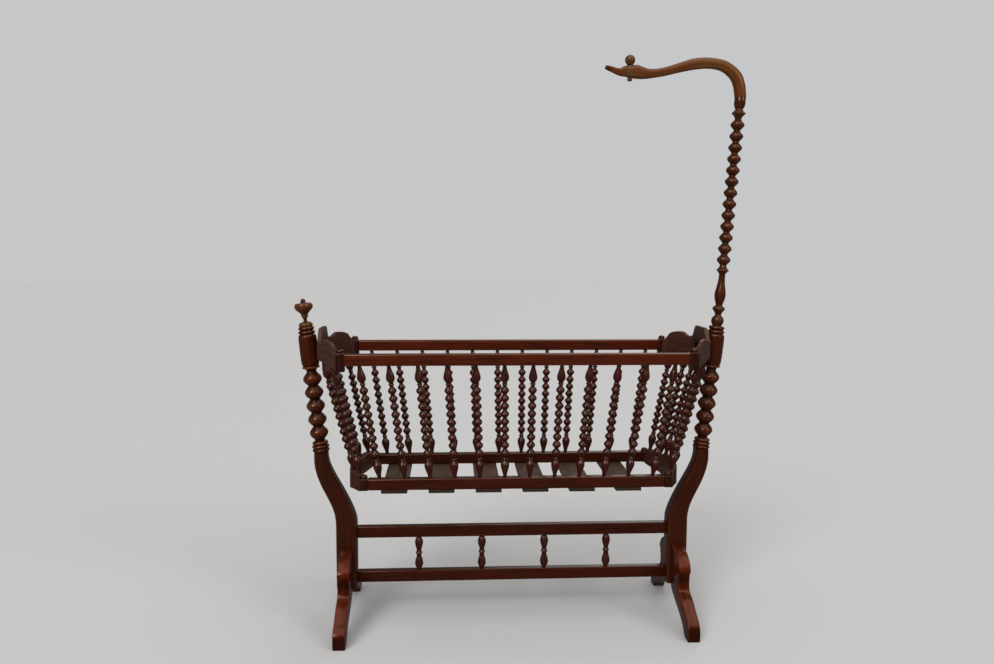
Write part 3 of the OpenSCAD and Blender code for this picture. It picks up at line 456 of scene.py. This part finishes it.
def leg():
    # rounded rectangles whose middle runs along an S, the last one square to the post
    sizes = legSizes
    t = np.linspace(0, 1, sizes["rows"])
    z = mix(sizes["bottom"], sizes["top"], t)
    middle = sizes["middleX"] + sizes["sweep"] * smoothStep(
        (z - sizes["bendBottom"]) / (sizes["bendTop"] - sizes["bendBottom"])
    )
    fall = sizes["top"] - z
    waist = sizes["waist"] * smoothStep((z - sizes["bendBottom"]) / sizes["waistReach"])
    width = mix(sizes["topWidth"], sizes["width"] - waist, smoothStep(fall / sizes["topWidthReach"]))
    depth = mix(sizes["topDepth"], sizes["depth"], smoothStep(fall / sizes["topDepthReach"]))
    # arc centres at 1 from the middle, to be spread to each height's width and depth
    corner, out = roundedRectangle(4, 4, 1, 6)
    edge = sizes["edge"]
    # the lowest few millimetres draw in, as an eased edge round the underside
    inset = np.maximum(0, sizes["footEase"] - (z - sizes["bottom"])) * 0.7
    x = middle[:, None] + corner[:, 0] * (width[:, None] / 2 - edge) + out[:, 0] * (edge - inset[:, None])
    y = corner[:, 1] * (depth[:, None] / 2 - edge) + out[:, 1] * (edge - inset[:, None])
    # the upper rings tip over until the last is square to the post's axis
    tipShare = smoothStep((t - sizes["tipFrom"]) / (1 - sizes["tipFrom"]))
    tip = tipShare[:, None] * math.tan(lean) * (postX - x)
    rings = np.stack([x, y, z[:, None] + tip], -1)
    grain = np.stack([x - middle[:, None] * 0.4, y, np.repeat(z[:, None], x.shape[1], 1)], -1)
    arc = np.clip(np.abs(out[:, 0] * out[:, 1]) * 2, 0, 1)
    # rounded edges take a paler crest colour: wear, with painted highlight
    wearAndPaintedLight = 0.46 + 0.3 * arc[None] * np.ones_like(x)
    return closedShell(rings, grain, wearAndPaintedLight)


def legDrop():
    # small turned button under the leg, a smooth curve from its flat underside to its neck
    radius, height = legSizes["dropRadius"], legSizes["dropHeight"]
    profile = flowing([[1.5, 0], [6, 1.5], [radius, 5], [radius - 1, 8], [radius - 3, height + 2]], 5)
    foot = np.array([legSizes["middleX"], 0, legSizes["bottom"] - height])
    return turned(profile, foot, foot + up, 28)


def postProfile(socket):
    # radius and height pairs up the post: three collar rings, the row of beads, a thin disc, the barrel
    # and two rings, with a bore of radius socket in the flat top
    sizes = postSizes
    third = sizes["collarHeight"] / 3
    foot, r, top = barrelFoot, sizes["barrel"], barrelFoot + sizes["barrelHeight"]
    return np.vstack([
        [[4, 0.0], [sizes["collar"] - 4, 0.05]],
        beadRow(sizes["collar"], sizes["collar"] - 4, 0.1, third, 2, 11, 0.5),
        beadRow(sizes["collar"] - 2, sizes["collar"] - 6, 2 * third, third, 1, 11, 0.5),
        [[sizes["neck"] + 1.5, 3 * third + 0.6], [sizes["neck"], 3 * third + 2.4]],
        beadRow(sizes["bead"], sizes["neck"], beadFoot, sizes["beadHeight"], sizes["beads"], 24, 0.56),
        flowing([[14.2, foot - 17], [14.8, foot - 12], [17.5, foot - 9]], 4),
        flowing([[21, foot - 7.6], [24.2, foot - 6.2], [25, foot - 4], [24.2, foot - 1.8],
                 [21.8, foot - 0.6]], 4),
        flowing([[r - 4, foot + 0.6], [r - 2.6, foot + 2.4], [r - 0.9, foot + 9], [r, foot + 26],
                 [r, foot + 60], [r - 0.5, top - 8], [r - 1.2, top - 3], [r - 3.6, top + 0.4]], 6),
        beadRow(r - 2, r - 6.5, ringFoot, sizes["ringHeight"], 1, 13, 0.5),
        beadRow(r - 3.4, r - 7.5, ringFoot + sizes["ringHeight"], sizes["ringHeight"], 1, 13, 0.5),
        [[17.5, postHeight], [socket, postHeight]],
    ])


footSizes = {
    "face": 26, "reach": 218, "top": 214, "width": 34, "edge": 3, "coveHeight": 136, "coveSpread": 20,
    "coveShade": 0.4, "toeShadeTop": 56, "toeShadeFade": 26, "toeShade": 0.42,
}


def footShell():
    # side view of a foot as an outer curve (scrolled back, cove, toe) and an inner one (leg's face, arch),
    # in three runs that meet in corners; each outer point has its partner on the inner curve
    sizes = footSizes
    face, reach, top = sizes["face"], sizes["reach"], sizes["top"]
    runs = [
        ([[face, top - 3], [face + 20, top - 4], [face + 46, top - 10], [face + 70, top - 23],
          [face + 84, top - 38], [face + 89, top - 51]],
         [[face, top - 7], [face, 196], [face, 180], [face, 160], [face, 140], [face, 120]]),
        ([[face + 84, top - 54], [face + 78, top - 68], [face + 76, top - 86], [face + 79, top - 104],
          [face + 85, top - 112], [face + 92, top - 115]],
         [[face, 117], [face, 104], [face, 92], [face + 1, 84], [face + 8, 79.5], [face + 15, 75.5]]),
        ([[face + 94, top - 116], [reach - 74, 88], [reach - 50, 73], [reach - 30, 61], [reach - 15, 53],
          [reach - 5, 42], [reach, 26], [reach - 1, 8], [reach - 3, 0]],
         [[face + 17, 74], [78, 58], [104, 49], [124, 40.5], [140, 32.5], [152, 25], [162, 17], [171, 7],
          [reach - 42, 0]]),
    ]
    outer, inner = (np.vstack([flowing(run[k], 6) for run in runs]) for k in (0, 1))

    def place(u, v, depth):
        # u is the way out from the leg, v the height
        return np.stack([legSizes["middleX"] - sizes["width"] / 2 + depth, -u, v], -1)

    # painted shade in the cove under the scroll and low on the toe's front
    z = outer[:, 1]
    cove = np.exp(-(((z - sizes["coveHeight"]) / sizes["coveSpread"]) ** 2)) * (outer[:, 0] < face + 88)
    toe = smoothStep((sizes["toeShadeTop"] - z) / sizes["toeShadeFade"])
    paintedShade = sizes["coveShade"] * cove + sizes["toeShade"] * toe
    return outward(lofted(outer, inner, sizes["width"], sizes["edge"], place, paintedShade))


legShell, dropShell, footPiece = leg(), legDrop(), footShell()
for side, name in leftRight:
    makePiece(name + "LegCarved", [quartered(legShell, side), quartered(dropShell, side)], legWood,
              "stand", [name + "_leg"], 40)
    socket = postSizes["finialBore"] if side < 0 else postSizes["poleBore"]
    makePiece(name + "PostTurned", [turned(postProfile(socket), onPost(side, 0), onPost(side, 1), 56)],
              postWood, "stand", [name + "_post"])
    for sideY, face in frontBack:
        makePiece(face + name.capitalize() + "FootSawn", [quartered(footPiece, side, sideY)], footWood,
                  "stand", [f"{face}_{name}_foot"], 40)

stretcherSizes = {
    "lower": 125, "upper": 260, "height": 34, "thick": 24, "edge": 3, "spindles": 4, "pitch": 187,
}
stretcherEnd = legSizes["middleX"] - legSizes["width"] / 2
for name in ("upper", "lower"):
    z = stretcherSizes[name]
    shell = bar([-stretcherEnd, 0, z], [stretcherEnd, 0, z], stretcherSizes["thick"],
                stretcherSizes["height"], stretcherSizes["edge"])
    makePiece(name + "StretcherPlaned", [shell], lowRailWood, "stand", [name + "_stretcher"])

spindleFoot = stretcherSizes["lower"] + stretcherSizes["height"] / 2
spindleHeight = stretcherSizes["upper"] - stretcherSizes["lower"] - stretcherSizes["height"]


def spindleProfile():
    # radius and height pairs up a spindle: a vase, a ring in the middle and the vase turned over
    h = spindleHeight
    half = flowing([[5.4, -1], [6.4, 2.5], [9, 6.5], [11.8, 0.15 * h], [12, 0.2 * h], [10.4, 0.29 * h],
                    [7.6, 0.38 * h], [6.8, 0.43 * h]], 5)
    ring = beadRow(9.6, 7, h / 2 - 5.5, 11, 1, 11, 0.58)
    return np.vstack([half, ring, (half * [1, -1] + [0, h])[::-1]])


for i in range(stretcherSizes["spindles"]):
    x = (i - (stretcherSizes["spindles"] - 1) / 2) * stretcherSizes["pitch"]
    foot = np.array([x, 0, spindleFoot])
    makePiece(f"stretcherSpindle{i + 1}Turned", [turned(spindleProfile(), foot, foot + up, 36)], turnedWood,
              "stand", [f"stretcher_spindle_{i + 1}"])
print("stand made")

finialProfile = np.vstack([
    [[3, 0.0]],
    flowing([[18.2, 0], [19.6, 1.6], [19.8, 4.4], [18.4, 8.4], [14.4, 11.2], [8.6, 12.8], [5.8, 14.4],
             [5.1, 17], [5.3, 20.6], [6.6, 24.6], [8.4, 27.4]], 4),
    flowing([[9.5, 28.6], [10, 30.4], [9.6, 32.2], [8.8, 33.2]], 3),
    flowing([[9.6, 34.4], [12.4, 38.4], [17.4, 43.6], [22.4, 48.4], [25.4, 53.4], [26, 57], [25.6, 61],
             [24.4, 64], [21.6, 66.2], [15, 67]], 5),
    flowing([[8.4, 67.4], [7.4, 69], [6.9, 71.4], [6.8, 74], [5.6, 77.4], [3, 79.2], [0.6, 79.6]], 4),
])
makePiece("finialTurned", [turned(finialProfile, onPost(-1, postHeight), onPost(-1, postHeight + 1), 48)],
          finialWood, "stand", ["finial"])

poleHead = poleSizes["footHeight"] + poleSizes["beads"] * poleSizes["beadHeight"]
poleHeight = poleHead + poleSizes["headHeight"]


def poleProfile():
    # radius and height pairs up the pole: seat, ball, ring, vase and ring, the row of beads, then a ring
    # and the ferrule that holds the swan neck
    top = poleSizes["footHeight"]
    foot = np.vstack([
        [[3, 0.0]],
        flowing([[12.6, 0], [13.6, 0.8], [13.2, 1.8]], 3),
        flowing([[13.6, 2.6], [16.2, 6.4], [17.8, 11.4], [18, 15.5], [17, 20.5], [14, 25.6], [10.4, 29.6],
                 [9, 32.4]], 5),
        flowing([[9, 35], [10.6, 38.4], [14.4, 44], [17.6, 48.6], [18.1, 50.8], [17.4, 53], [13.8, 56.8],
                 [10.4, 59.4]], 4),
        flowing([[9.5, 61.4], [10.4, 65], [12.4, 71], [14.6, 79], [15.9, 89], [15.5, 98], [13.6, 109],
                 [11.4, 121], [9.6, 134], [8.9, 148]], 6),
        flowing([[9.1, 152.4], [11, 156], [15.4, 160.8], [17.6, 163.4], [17.6, 165], [15, 167.6],
                 [11.6, 171.4], [9.9, 176]], 4),
    ])
    beads = beadRow(poleSizes["bead"], poleSizes["neck"], top, poleSizes["beadHeight"],
                    poleSizes["beads"], 21, 0.76)
    head = np.vstack([
        flowing([[9.4, 1.6], [11.6, 7], [16.4, 12.6], [19.4, 15.8], [19.5, 17.6], [16.2, 20.8], [12.4, 25],
                 [10.9, 28.4]], 4),
        flowing([[11.2, 30], [12.8, 32.2], [14.9, 37], [16, 43], [16.2, 50], [15.4, 57], [14.9, 60.2]], 4),
        [[3, 60.4]],
    ]) + [0, poleHead]
    return np.vstack([foot, beads, head]) + [0, poleSizes["gap"]]


makePiece("poleTurned", [turned(poleProfile(), poleFoot, poleFoot + poleAxis, 44)],
          poleWood, "canopy_arm", ["pole"])

# the swan neck's path: x and z from the top of the pole, then half height and half depth there
swanPath = [
    [0, 0, 16.6, 15.2], [-1.5, 16, 17, 15.4], [-5, 36, 17.4, 15.4], [-13, 57, 17.6, 15.2],
    [-28, 73.6, 16.8, 15], [-50, 87.9, 16.2, 14.6], [-75, 94.2, 15.6, 14], [-104, 96.2, 15.8, 13.6],
    [-135, 93.2, 15.8, 13], [-164, 86.5, 14.4, 12.4], [-193, 78.3, 12.8, 11.8], [-222, 70.5, 12, 11.4],
    [-249, 65.6, 12.2, 11.6], [-270, 64.1, 14, 12], [-288, 65.6, 17.4, 12.6], [-304, 68.4, 19.6, 12.6],
    [-320, 68.6, 17.6, 11.4], [-336, 69, 15.6, 10], [-348, 67.2, 11.8, 8.4], [-361, 69.4, 9.4, 7],
    [-376, 75, 8, 6], [-388, 78.8, 6.8, 5.4], [-394, 81.2, 4.6, 4],
]
swanSizes = {"around": 40, "steps": 9, "mouthFrom": 330, "mouthFade": 12, "tipFrom": 372, "tipFade": 14}


def swanShell():
    # ovals carried along the neck, square to it, with the bill's mouth line pressed into both cheeks
    sizes, around = swanSizes, swanSizes["around"]
    path = flowing(swanPath, sizes["steps"])
    along = np.gradient(path[:, :2], axis=0)
    along[0] = poleAxis[[0, 2]]
    along /= norm(along, axis=1, keepdims=True)
    angle = np.arange(around) * 2 * math.pi / around
    # angle 0 is the outer (upper) side of the neck
    outer = np.stack([along[:, 1], -along[:, 0]], 1)
    height, depth = path[:, 2:3] * np.cos(angle), path[:, 3:4] * np.sin(angle)
    bill = smoothStep((-path[:, 0:1] - sizes["mouthFrom"]) / sizes["mouthFade"])
    mouth = np.exp(-(((np.abs(np.sin(angle)) - 1) / 0.06) ** 2))[None] * bill
    depth = depth * (1 - 0.1 * mouth)
    start = poleFoot + poleHeight * poleAxis
    x = start[0] + path[:, 0:1] + outer[:, 0:1] * height
    z = start[2] + path[:, 1:2] + outer[:, 1:2] * height
    rings = np.stack([x, depth, z], -1)
    run = np.cumsum(norm(np.gradient(path[:, :2], axis=0), axis=1))
    grain = np.stack([height, depth, np.repeat(run[:, None], around, 1)], -1)
    # painted shade darkening the underside of the neck and the mouth line, and darker towards the tip of the
    # bill
    tipDark = smoothStep((-path[:, 0:1] - sizes["tipFrom"]) / sizes["tipFade"])
    wearAndPaintedLight = 0.5 + 0.12 * np.cos(angle)[None] - 0.2 * mouth - 0.5 * tipDark
    return closedShell(rings, grain, np.clip(wearAndPaintedLight, 0, 1))


makePiece("swanNeckCarved", [swanShell()], paleWood, "canopy_arm", ["swan_neck"], 60)

pegSizes = {"x": -323, "ballZ": 101, "ball": 14.6, "bulge": 12.2}
pegFoot = poleFoot + poleHeight * poleAxis + [pegSizes["x"], 0, 0]
ballAngle = np.radians(np.linspace(-52, 88, 22))
# inside the head the shank swells, so it shows as a dark rib on both cheeks
pegProfile = np.vstack([
    flowing([[0.8, 41.6], [4, 42.2], [6.8, 44], [8, 46.6], [7, 48.6], [5.2, 49.6]], 4),
    flowing([[5.6, 51], [8.8, 53.4], [pegSizes["bulge"], 59], [pegSizes["bulge"], 78], [9.4, 84.4],
             [7.4, 87]], 4),
    flowing([[7.8, 87.6], [9.4, 88.3], [9.6, 89.2], [9, 90]], 3),
    np.stack([
        pegSizes["ball"] * np.cos(ballAngle), pegSizes["ballZ"] + pegSizes["ball"] * np.sin(ballAngle)
    ], 1),
])
makePiece("curtainPegTurned", [turned(pegProfile, pegFoot, pegFoot + up, 40)], pegWood, "canopy_arm",
          ["curtain_peg"])
print("canopy arm made")

basketSizes = {
    "pivotZ": 820, "railHeight": 32, "railThick": 26, "railEdge": 4, "board": 20, "boardEdge": 3.2,
    "block": 24, "blockEdge": 3, "fit": 0.05, "sideBalusters": 12, "endBalusters": 6,
}
b = basketSizes
# heights are from the ground, reach is half the length over the end boards, end the middle board's width,
# reveal how far a canted board lies inside the block's face, lift the share of the serpentine edge's height
levels = {
    "top": {
        "railTop": 810, "boardUnder": 780, "wingUnder": 764, "blockUnder": 762, "blockTop": 812,
        "length": 988, "width": 374, "reach": 559, "end": 150, "reveal": 9, "pitch": 78.4, "lift": 1,
        "wood": railWood, "endNode": "_end_board",
    },
    "bottom": {
        "railTop": 459, "boardUnder": 410, "wingUnder": 422, "blockUnder": 426, "blockTop": 459,
        "length": 876, "width": 306, "reach": 474, "end": 124, "reveal": 7, "pitch": 69.6, "lift": 0.34,
        "wood": lowRailWood, "endNode": "_bottom_board",
    },
}
crestSizes = {
    "peak": 57, "peakHalf": 38, "valley": 21, "valleyFrom": 5, "lobeFrom": 17, "lobe": 32, "lobeTop": 45,
    "tailEnd": 2, "tailLength": 66, "tailFullness": 2.2, "thinner": 0.45, "thinFrom": 1, "thinReach": 16,
}
endBoardSizes = {
    "mitreGap": 0.2, "blockGap": 0.3, "cutReach": 30, "wingStep": 1.5, "steps": 61, "wingSteps": 34,
}


def canted(level):
    # the corner where the outer faces of an end meet, the way from it along the canted board, and its length
    corner = np.array([level["reach"], -level["end"] / 2])
    run = np.array([level["length"] / 2, level["reveal"] - level["width"] / 2]) - corner
    return corner, run / norm(run), norm(run)


def crest(s, half):
    # height of the serpentine edge over the rail, s along the end from its middle: a flat peak, a smooth
    # step down to a valley at the mitre, a smooth step up to a lobe, and a rounded tail down to the block
    c, s = crestSizes, np.abs(s)
    valleyFrom, lobeFrom, lobeTop = half + c["valleyFrom"], half + c["lobeFrom"], half + c["lobeTop"]
    shoulder = mix(c["peak"], c["valley"], smoothStep((s - c["peakHalf"]) / (valleyFrom - c["peakHalf"])))
    lobe = mix(c["valley"], c["lobe"], smoothStep((s - lobeFrom) / (lobeTop - lobeFrom)))
    fall = np.clip((s - lobeTop) / c["tailLength"], 0, 1) ** c["tailFullness"]
    tail = c["tailEnd"] + (c["lobe"] - c["tailEnd"]) * np.sqrt(1 - fall)
    ranges = [s < c["peakHalf"], s < valleyFrom, s < lobeFrom, s < lobeTop]
    return np.select(ranges, [c["peak"] + 0 * s, shoulder, c["valley"] + 0 * s, lobe], tail)


def railShell(level):
    # planed rail with eased edges, between two corner blocks
    inside = level["length"] / 2 - b["block"] - b["fit"]
    y, z = (b["railThick"] - level["width"]) / 2, level["railTop"] - b["railHeight"] / 2
    return bar([-inside, y, z], [inside, y, z], b["railThick"], b["railHeight"], b["railEdge"])


def blockShells(level):
    # square block with eased edges and a round knob on a short neck
    x, y = (level["length"] - b["block"]) / 2, (b["block"] - level["width"]) / 2
    top = np.array([x, y, level["blockTop"]])
    post = bar([x, y, level["blockUnder"]], top, b["block"], b["block"], b["blockEdge"], rows=1)
    knob = flowing([[10.5, -0.6], [9.4, 0.6], [8.8, 1.4], [9.8, 3], [10.2, 5], [9.4, 7.4], [7, 9.6],
                    [3.4, 11], [0.5, 11.4]], 4)
    return [post, turned(knob, top, top + up, 30)]


def boardShell(level, sLow, sHigh, underLow, underHigh, steps, isCanted):
    # one board of an end: its outline holds distance along the end and height; over the rail the inner
    # face leans out by a smooth step, so the serpentine edge is thin. A canted board's end follows the two
    # faces of its corner block that it meets
    corner, way, _ = canted(level)
    half = -corner[1]
    s = np.linspace(sLow, sHigh, steps)
    top = np.stack([s, level["railTop"] + level["lift"] * crest(s, half)], 1)
    under = np.stack([s, mix(underLow, underHigh, (s - sLow) / (sHigh - sLow))], 1)
    d, start = (way, corner) if isCanted else (np.array([0.0, -1.0]), corner * [1, 0])
    inward = np.array([d[1], -d[0]])
    mitre = math.tan(-(math.atan2(way[1], way[0]) + math.pi / 2) / 2)
    covered = b["block"] - level["reveal"]
    thinFrom, cutReach = level["railTop"] + crestSizes["thinFrom"], endBoardSizes["cutReach"]

    def place(u, v, depth):
        # u along the end from its middle, v the height, depth inward from the outer face
        depth = depth * (1 - crestSizes["thinner"] * smoothStep((v - thinFrom) / crestSizes["thinReach"]))
        if isCanted:
            share = np.clip((sHigh - u) / (sHigh - sLow), 0, 1)
            cut = np.minimum(depth * d[1] / d[0], (covered - depth * inward[1]) / -d[1]).clip(0)
            cut = (cut + endBoardSizes["blockGap"]) * smoothStep((u - sHigh + cutReach) / cutReach)
            along = u - half + mitre * depth * share - cut
        else:
            along = u * (1 - mitre * depth / half)
        flat = start + along[..., None] * d + depth[..., None] * inward
        return np.stack([flat[..., 0], flat[..., 1], v], -1)

    return outward(lofted(top, under, b["board"], b["boardEdge"], place))


def endBoards(level):
    # middle board and its canted neighbour, made for the right end and the front
    corner, _, run = canted(level)
    half, sizes = -corner[1], endBoardSizes
    gap, under = sizes["mitreGap"], level["boardUnder"]
    middle = boardShell(level, -half + gap, half - gap, under, under, sizes["steps"], False)
    wing = boardShell(level, half + gap, half + run, under + sizes["wingStep"], level["wingUnder"],
                      sizes["wingSteps"], True)
    return middle, wing


for levelName, level in levels.items():
    rail, block, (middle, wing) = railShell(level), blockShells(level), endBoards(level)
    for sideY, face in frontBack:
        makePiece(face + levelName.capitalize() + "RailPlaned", [quartered(rail, 1, sideY)], level["wood"],
                  "basket", [f"{face}_{levelName}_rail"])
        for side, name in leftRight:
            title, node = face + name.capitalize() + levelName.capitalize(), f"{face}_{name}_{levelName}"
            makePiece(title + "BlockKnobbed", [quartered(s, side, sideY) for s in block], blockWood, "basket",
                      [node + "_block"])
            makePiece(title + "WingSawn", [quartered(wing, side, sideY)], boardWood, "basket",
                      [node + "_wing"], 40)
    for side, name in leftRight:
        makePiece(name + levelName.capitalize() + "EndSawn", [quartered(middle, side)], boardWood, "basket",
                  [name + level["endNode"]], 40)
print("basket frame made")

balusterSizes = {"bead": 12, "neck": 5.2, "vase": 12, "vaseHeight": 59.5, "beads": 9, "tenon": 3}


def balusterProfile(height):
    # vase and ring at both ends, and a row of round beads between them
    sizes = balusterSizes
    half = np.vstack([
        flowing([[5, -sizes["tenon"]], [5.3, 3], [5.9, 8], [7.5, 15], [9.8, 22.5], [11.4, 29.5],
                 [sizes["vase"], 35], [11.1, 40], [8.2, 45], [5.8, 48.6]], 4),
        beadRow(7.8, 5.6, sizes["vaseHeight"] - 9.4, 5.4, 1, 7, 0.5),
        [[5.4, sizes["vaseHeight"] - 3]],
    ])
    pitch = (height - 2 * sizes["vaseHeight"]) / sizes["beads"]
    beads = beadRow(sizes["bead"], sizes["neck"], sizes["vaseHeight"], pitch, sizes["beads"], 14, 0.66)
    return np.vstack([half, beads, (half * [1, -1] + [0, height])[::-1]])


def baluster(foot, head):
    # the profile above, turned round the line from foot to head
    return turned(balusterProfile(norm(head - foot)), foot, head, 22)


def alongEnd(k, level):
    # distance of end baluster k from the middle of the end, along the boards
    corner, _, run = canted(level)
    return (k - (b["endBalusters"] - 1) / 2) * 2 * (run - corner[1]) / b["endBalusters"]


def endPoint(k, level, z):
    # where end baluster k meets a board's middle line
    corner, way, _ = canted(level)
    s = alongEnd(k, level)
    if abs(s) <= -corner[1]:
        x, y = corner[0] - b["board"] / 2, -abs(s)
    else:
        x, y = corner + way * (abs(s) + corner[1]) + np.array([way[1], -way[0]]) * b["board"] / 2
    return np.array([x, y if s < 0 else -y, z])


def endHeights(k):
    # edge of the lower boards and underside of the upper ones, where end baluster k meets them
    upper, lower = levels["top"], levels["bottom"]
    corner, _, run = canted(upper)
    past = max(0, (abs(alongEnd(k, upper)) + corner[1]) / run)
    edge = crest(np.array([alongEnd(k, lower)]), lower["end"] / 2)[0]
    return lower["railTop"] + lower["lift"] * edge, mix(upper["boardUnder"], upper["wingUnder"], past)


def railPoint(i, sideY, level):
    # the top of a long rail's middle line, where baluster i of that side stands
    return np.array([i * level["pitch"], sideY * (level["width"] - b["railThick"]) / 2, level["railTop"]])


sideIndex = np.arange(b["sideBalusters"]) - (b["sideBalusters"] - 1) / 2
railDrop = np.array([0, 0, b["railHeight"]])
for sideY, name in frontBack:
    shells = [
        baluster(railPoint(i, sideY, levels["bottom"]), railPoint(i, sideY, levels["top"]) - railDrop)
        for i in sideIndex
    ]
    makePiece(name + "BalustersTurned", shells, turnedWood, "basket", [name + "_balusters"])
for side, name in leftRight:
    shells = []
    for k in range(b["endBalusters"]):
        footZ, headZ = endHeights(k)
        foot, head = endPoint(k, levels["bottom"], footZ), endPoint(k, levels["top"], headZ)
        shells.append(baluster(foot * [side, 1, 1], head * [side, 1, 1]))
    makePiece(name + "EndBalustersTurned", shells, turnedWood, "basket",
              [name + "_end_balusters"])
print("balusters made")

slatSizes = {
    "count": 6, "pitch": 131, "offset": -15, "width": 72, "thick": 9, "fit": 0.05, "edge": 1.2,
    "shadedEnd": 12,
}
slatZ = levels["bottom"]["railTop"] - b["railHeight"] - slatSizes["thick"] / 2
slatHalf = levels["bottom"]["width"] / 2
for i in range(slatSizes["count"]):
    x = (i - (slatSizes["count"] - 1) / 2) * slatSizes["pitch"] + slatSizes["offset"]
    shell = bar([x, -slatHalf, slatZ], [x, slatHalf, slatZ], slatSizes["width"],
                slatSizes["thick"] - slatSizes["fit"], slatSizes["edge"], sideways=(1, 0, 0), rows=6)
    # painted shade, near black, where the slat ends run under the rails
    shell["wearAndPaintedLight"][np.abs(shell["points"][:, 1]) > slatHalf - slatSizes["shadedEnd"]] = 0.1
    makePiece(f"slat{i + 1}Planed", [shell], slatWood, "basket", [f"slat_{i + 1}"])

pinSizes = {"radius": 5, "proud": 6, "knobGap": 0.4, "knobHeight": 9, "shortOfAxis": 4}
pinTip = levels["top"]["reach"] - b["board"] - pinSizes["proud"]
pinLength = postX + (b["pivotZ"] - legSizes["top"]) * math.tan(lean) - pinTip


def pinProfile():
    # radius and height pairs along a pin: domed tip, shaft, knob outside the end board, shaft in the post
    r, knob = pinSizes["radius"], levels["top"]["reach"] + pinSizes["knobGap"] - pinTip
    knobTop, end = knob + pinSizes["knobHeight"], pinLength - pinSizes["shortOfAxis"]
    return np.vstack([
        flowing([[1, 0], [r - 1, 0.3], [r, 1.4]], 3),
        [[r, 4], [r, knob - 0.2]],
        flowing([[5.4, knob], [7, knob + 0.8], [7.6, knob + 2.4], [7.6, knob + 6.4], [6.8, knob + 8.2],
                 [5.2, knobTop]], 4),
        [[r, knobTop + 0.2], [r, end], [1, end + 0.1]],
    ])


for side, name in leftRight:
    start = np.array([side * pinTip, 0.0, b["pivotZ"]])
    makePiece(name + "PivotPinForged", [turned(pinProfile(), start, start + [side, 0, 0], 32)], iron, "stand",
              [name + "_pivot_pin"])

carried = {
    "foot_dowels": dowelWood, "left_pivot_bush": iron, "right_pivot_bush": iron, "slat_nails": iron,
}
for node, material in carried.items():
    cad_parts[node].data.materials.clear()
    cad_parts[node].data.materials.append(material)
print("slats and pivots made")

# the stage is in metres
floorSizes = {"radius": 30, "sides": 96}
floorAngle = np.linspace(0, 2 * math.pi, floorSizes["sides"], endpoint=False)
floorEdge = np.stack([np.cos(floorAngle), np.sin(floorAngle), 0 * floorAngle], 1) * floorSizes["radius"]
floorMesh = bpy.data.meshes.new("studioFloor")
floorMesh.from_pydata(floorEdge.tolist(), [], [list(range(floorSizes["sides"]))])
studioFloor = newObject("studioFloor", floorMesh)
paint = bpy.data.materials.new("paleMattPaint")
paint.use_nodes = True
paintShader = paint.node_tree.nodes["Principled BSDF"]
paintShader.inputs["Base Color"].default_value = srgb("#dcdbd9")
paintShader.inputs["Roughness"].default_value = 0.85
floorMesh.materials.append(paint)
studioFloor.visible_glossy = False  # dark wood would mirror its pale paint and turn milky

world = bpy.data.worlds.new("paleStudio")
scene.world = world
world.use_nodes = True
tree = world.node_tree
tree.nodes.clear()
# the camera sees a pale backdrop, and the object gets only a little light from it
seen = addNode(tree, "LightPath", out="Is Camera Ray")
glow, shown = (addNode(tree, "Background", {"Color": srgb("#c6c7c9"), "Strength": k}) for k in (0.16, 1.0))
addNode(tree, "OutputWorld", {"Surface": addNode(tree, "MixShader", {0: seen, 1: glow, 2: shown})})
scene.view_settings.view_transform = "Standard"


def softLight(name, place, spread, strength):
    # sunlight made soft by its spread in degrees, from place towards the middle of the object
    lamp = bpy.data.lights.new(name, "SUN")
    lamp.angle, lamp.energy = math.radians(spread), strength
    light = newObject(name, lamp)
    back = np.array(place, float) / norm(place)
    right = np.cross([0.0, 1.0, 0.0] if abs(back[2]) > 0.99 else up, back)
    right /= norm(right)
    turn = Matrix(np.stack([right, np.cross(back, right), back], 1).tolist()).to_4x4()
    light.matrix_world = Matrix.Translation(place) @ turn


softLight("leftWindow", place=(-2.0, -3.4, 2.6), spread=26, strength=1.25)
softLight("rightWindow", place=(3.0, -2.4, 1.8), spread=20, strength=0.45)
softLight("ceilingGlow", place=(0.2, -1.0, 4.0), spread=70, strength=1.3)
softLight("backWindow", place=(1.6, 3.4, 2.0), spread=40, strength=0.3)

# place in metres, angles in radians, focal length and picture width in pixels, sensor in millimetres
cameraSizes = {
    "place": (-0.1860 + standMiddle * 0.001, -2.3709, 1.0829), "pitch": 0.0971, "yaw": -0.0570,
    "roll": 0.0040, "focal": 818.16, "width": 994, "sensor": 36, "near": 0.05, "far": 200,
}
cp, sp = math.cos(cameraSizes["pitch"]), math.sin(cameraSizes["pitch"])
cy, sy = math.cos(cameraSizes["yaw"]), math.sin(cameraSizes["yaw"])
cr, sr = math.cos(cameraSizes["roll"]), math.sin(cameraSizes["roll"])
turnZ = np.array([[cy, sy, 0], [-sy, cy, 0], [0, 0, 1]])
lookAlong = np.array([[1, 0, 0], [0, 0, -1], [0, 1, 0]])
tilt = np.array([[1, 0, 0], [0, cp, -sp], [0, sp, cp]])
rollTurn = np.array([[cr, -sr, 0], [sr, cr, 0], [0, 0, 1]])
rows = rollTurn @ tilt @ lookAlong @ turnZ
lens = bpy.data.cameras.new("photoCamera")
lens.sensor_width = cameraSizes["sensor"]
lens.lens = cameraSizes["sensor"] * cameraSizes["focal"] / cameraSizes["width"]
lens.clip_start, lens.clip_end = cameraSizes["near"], cameraSizes["far"]
camera = newObject("photoCamera", lens)
camera.matrix_world = Matrix.Translation(cameraSizes["place"]) @ Matrix(
    np.stack([rows[0], -rows[1], -rows[2]], 1).tolist()
).to_4x4()
scene.camera = camera
print("stage made")
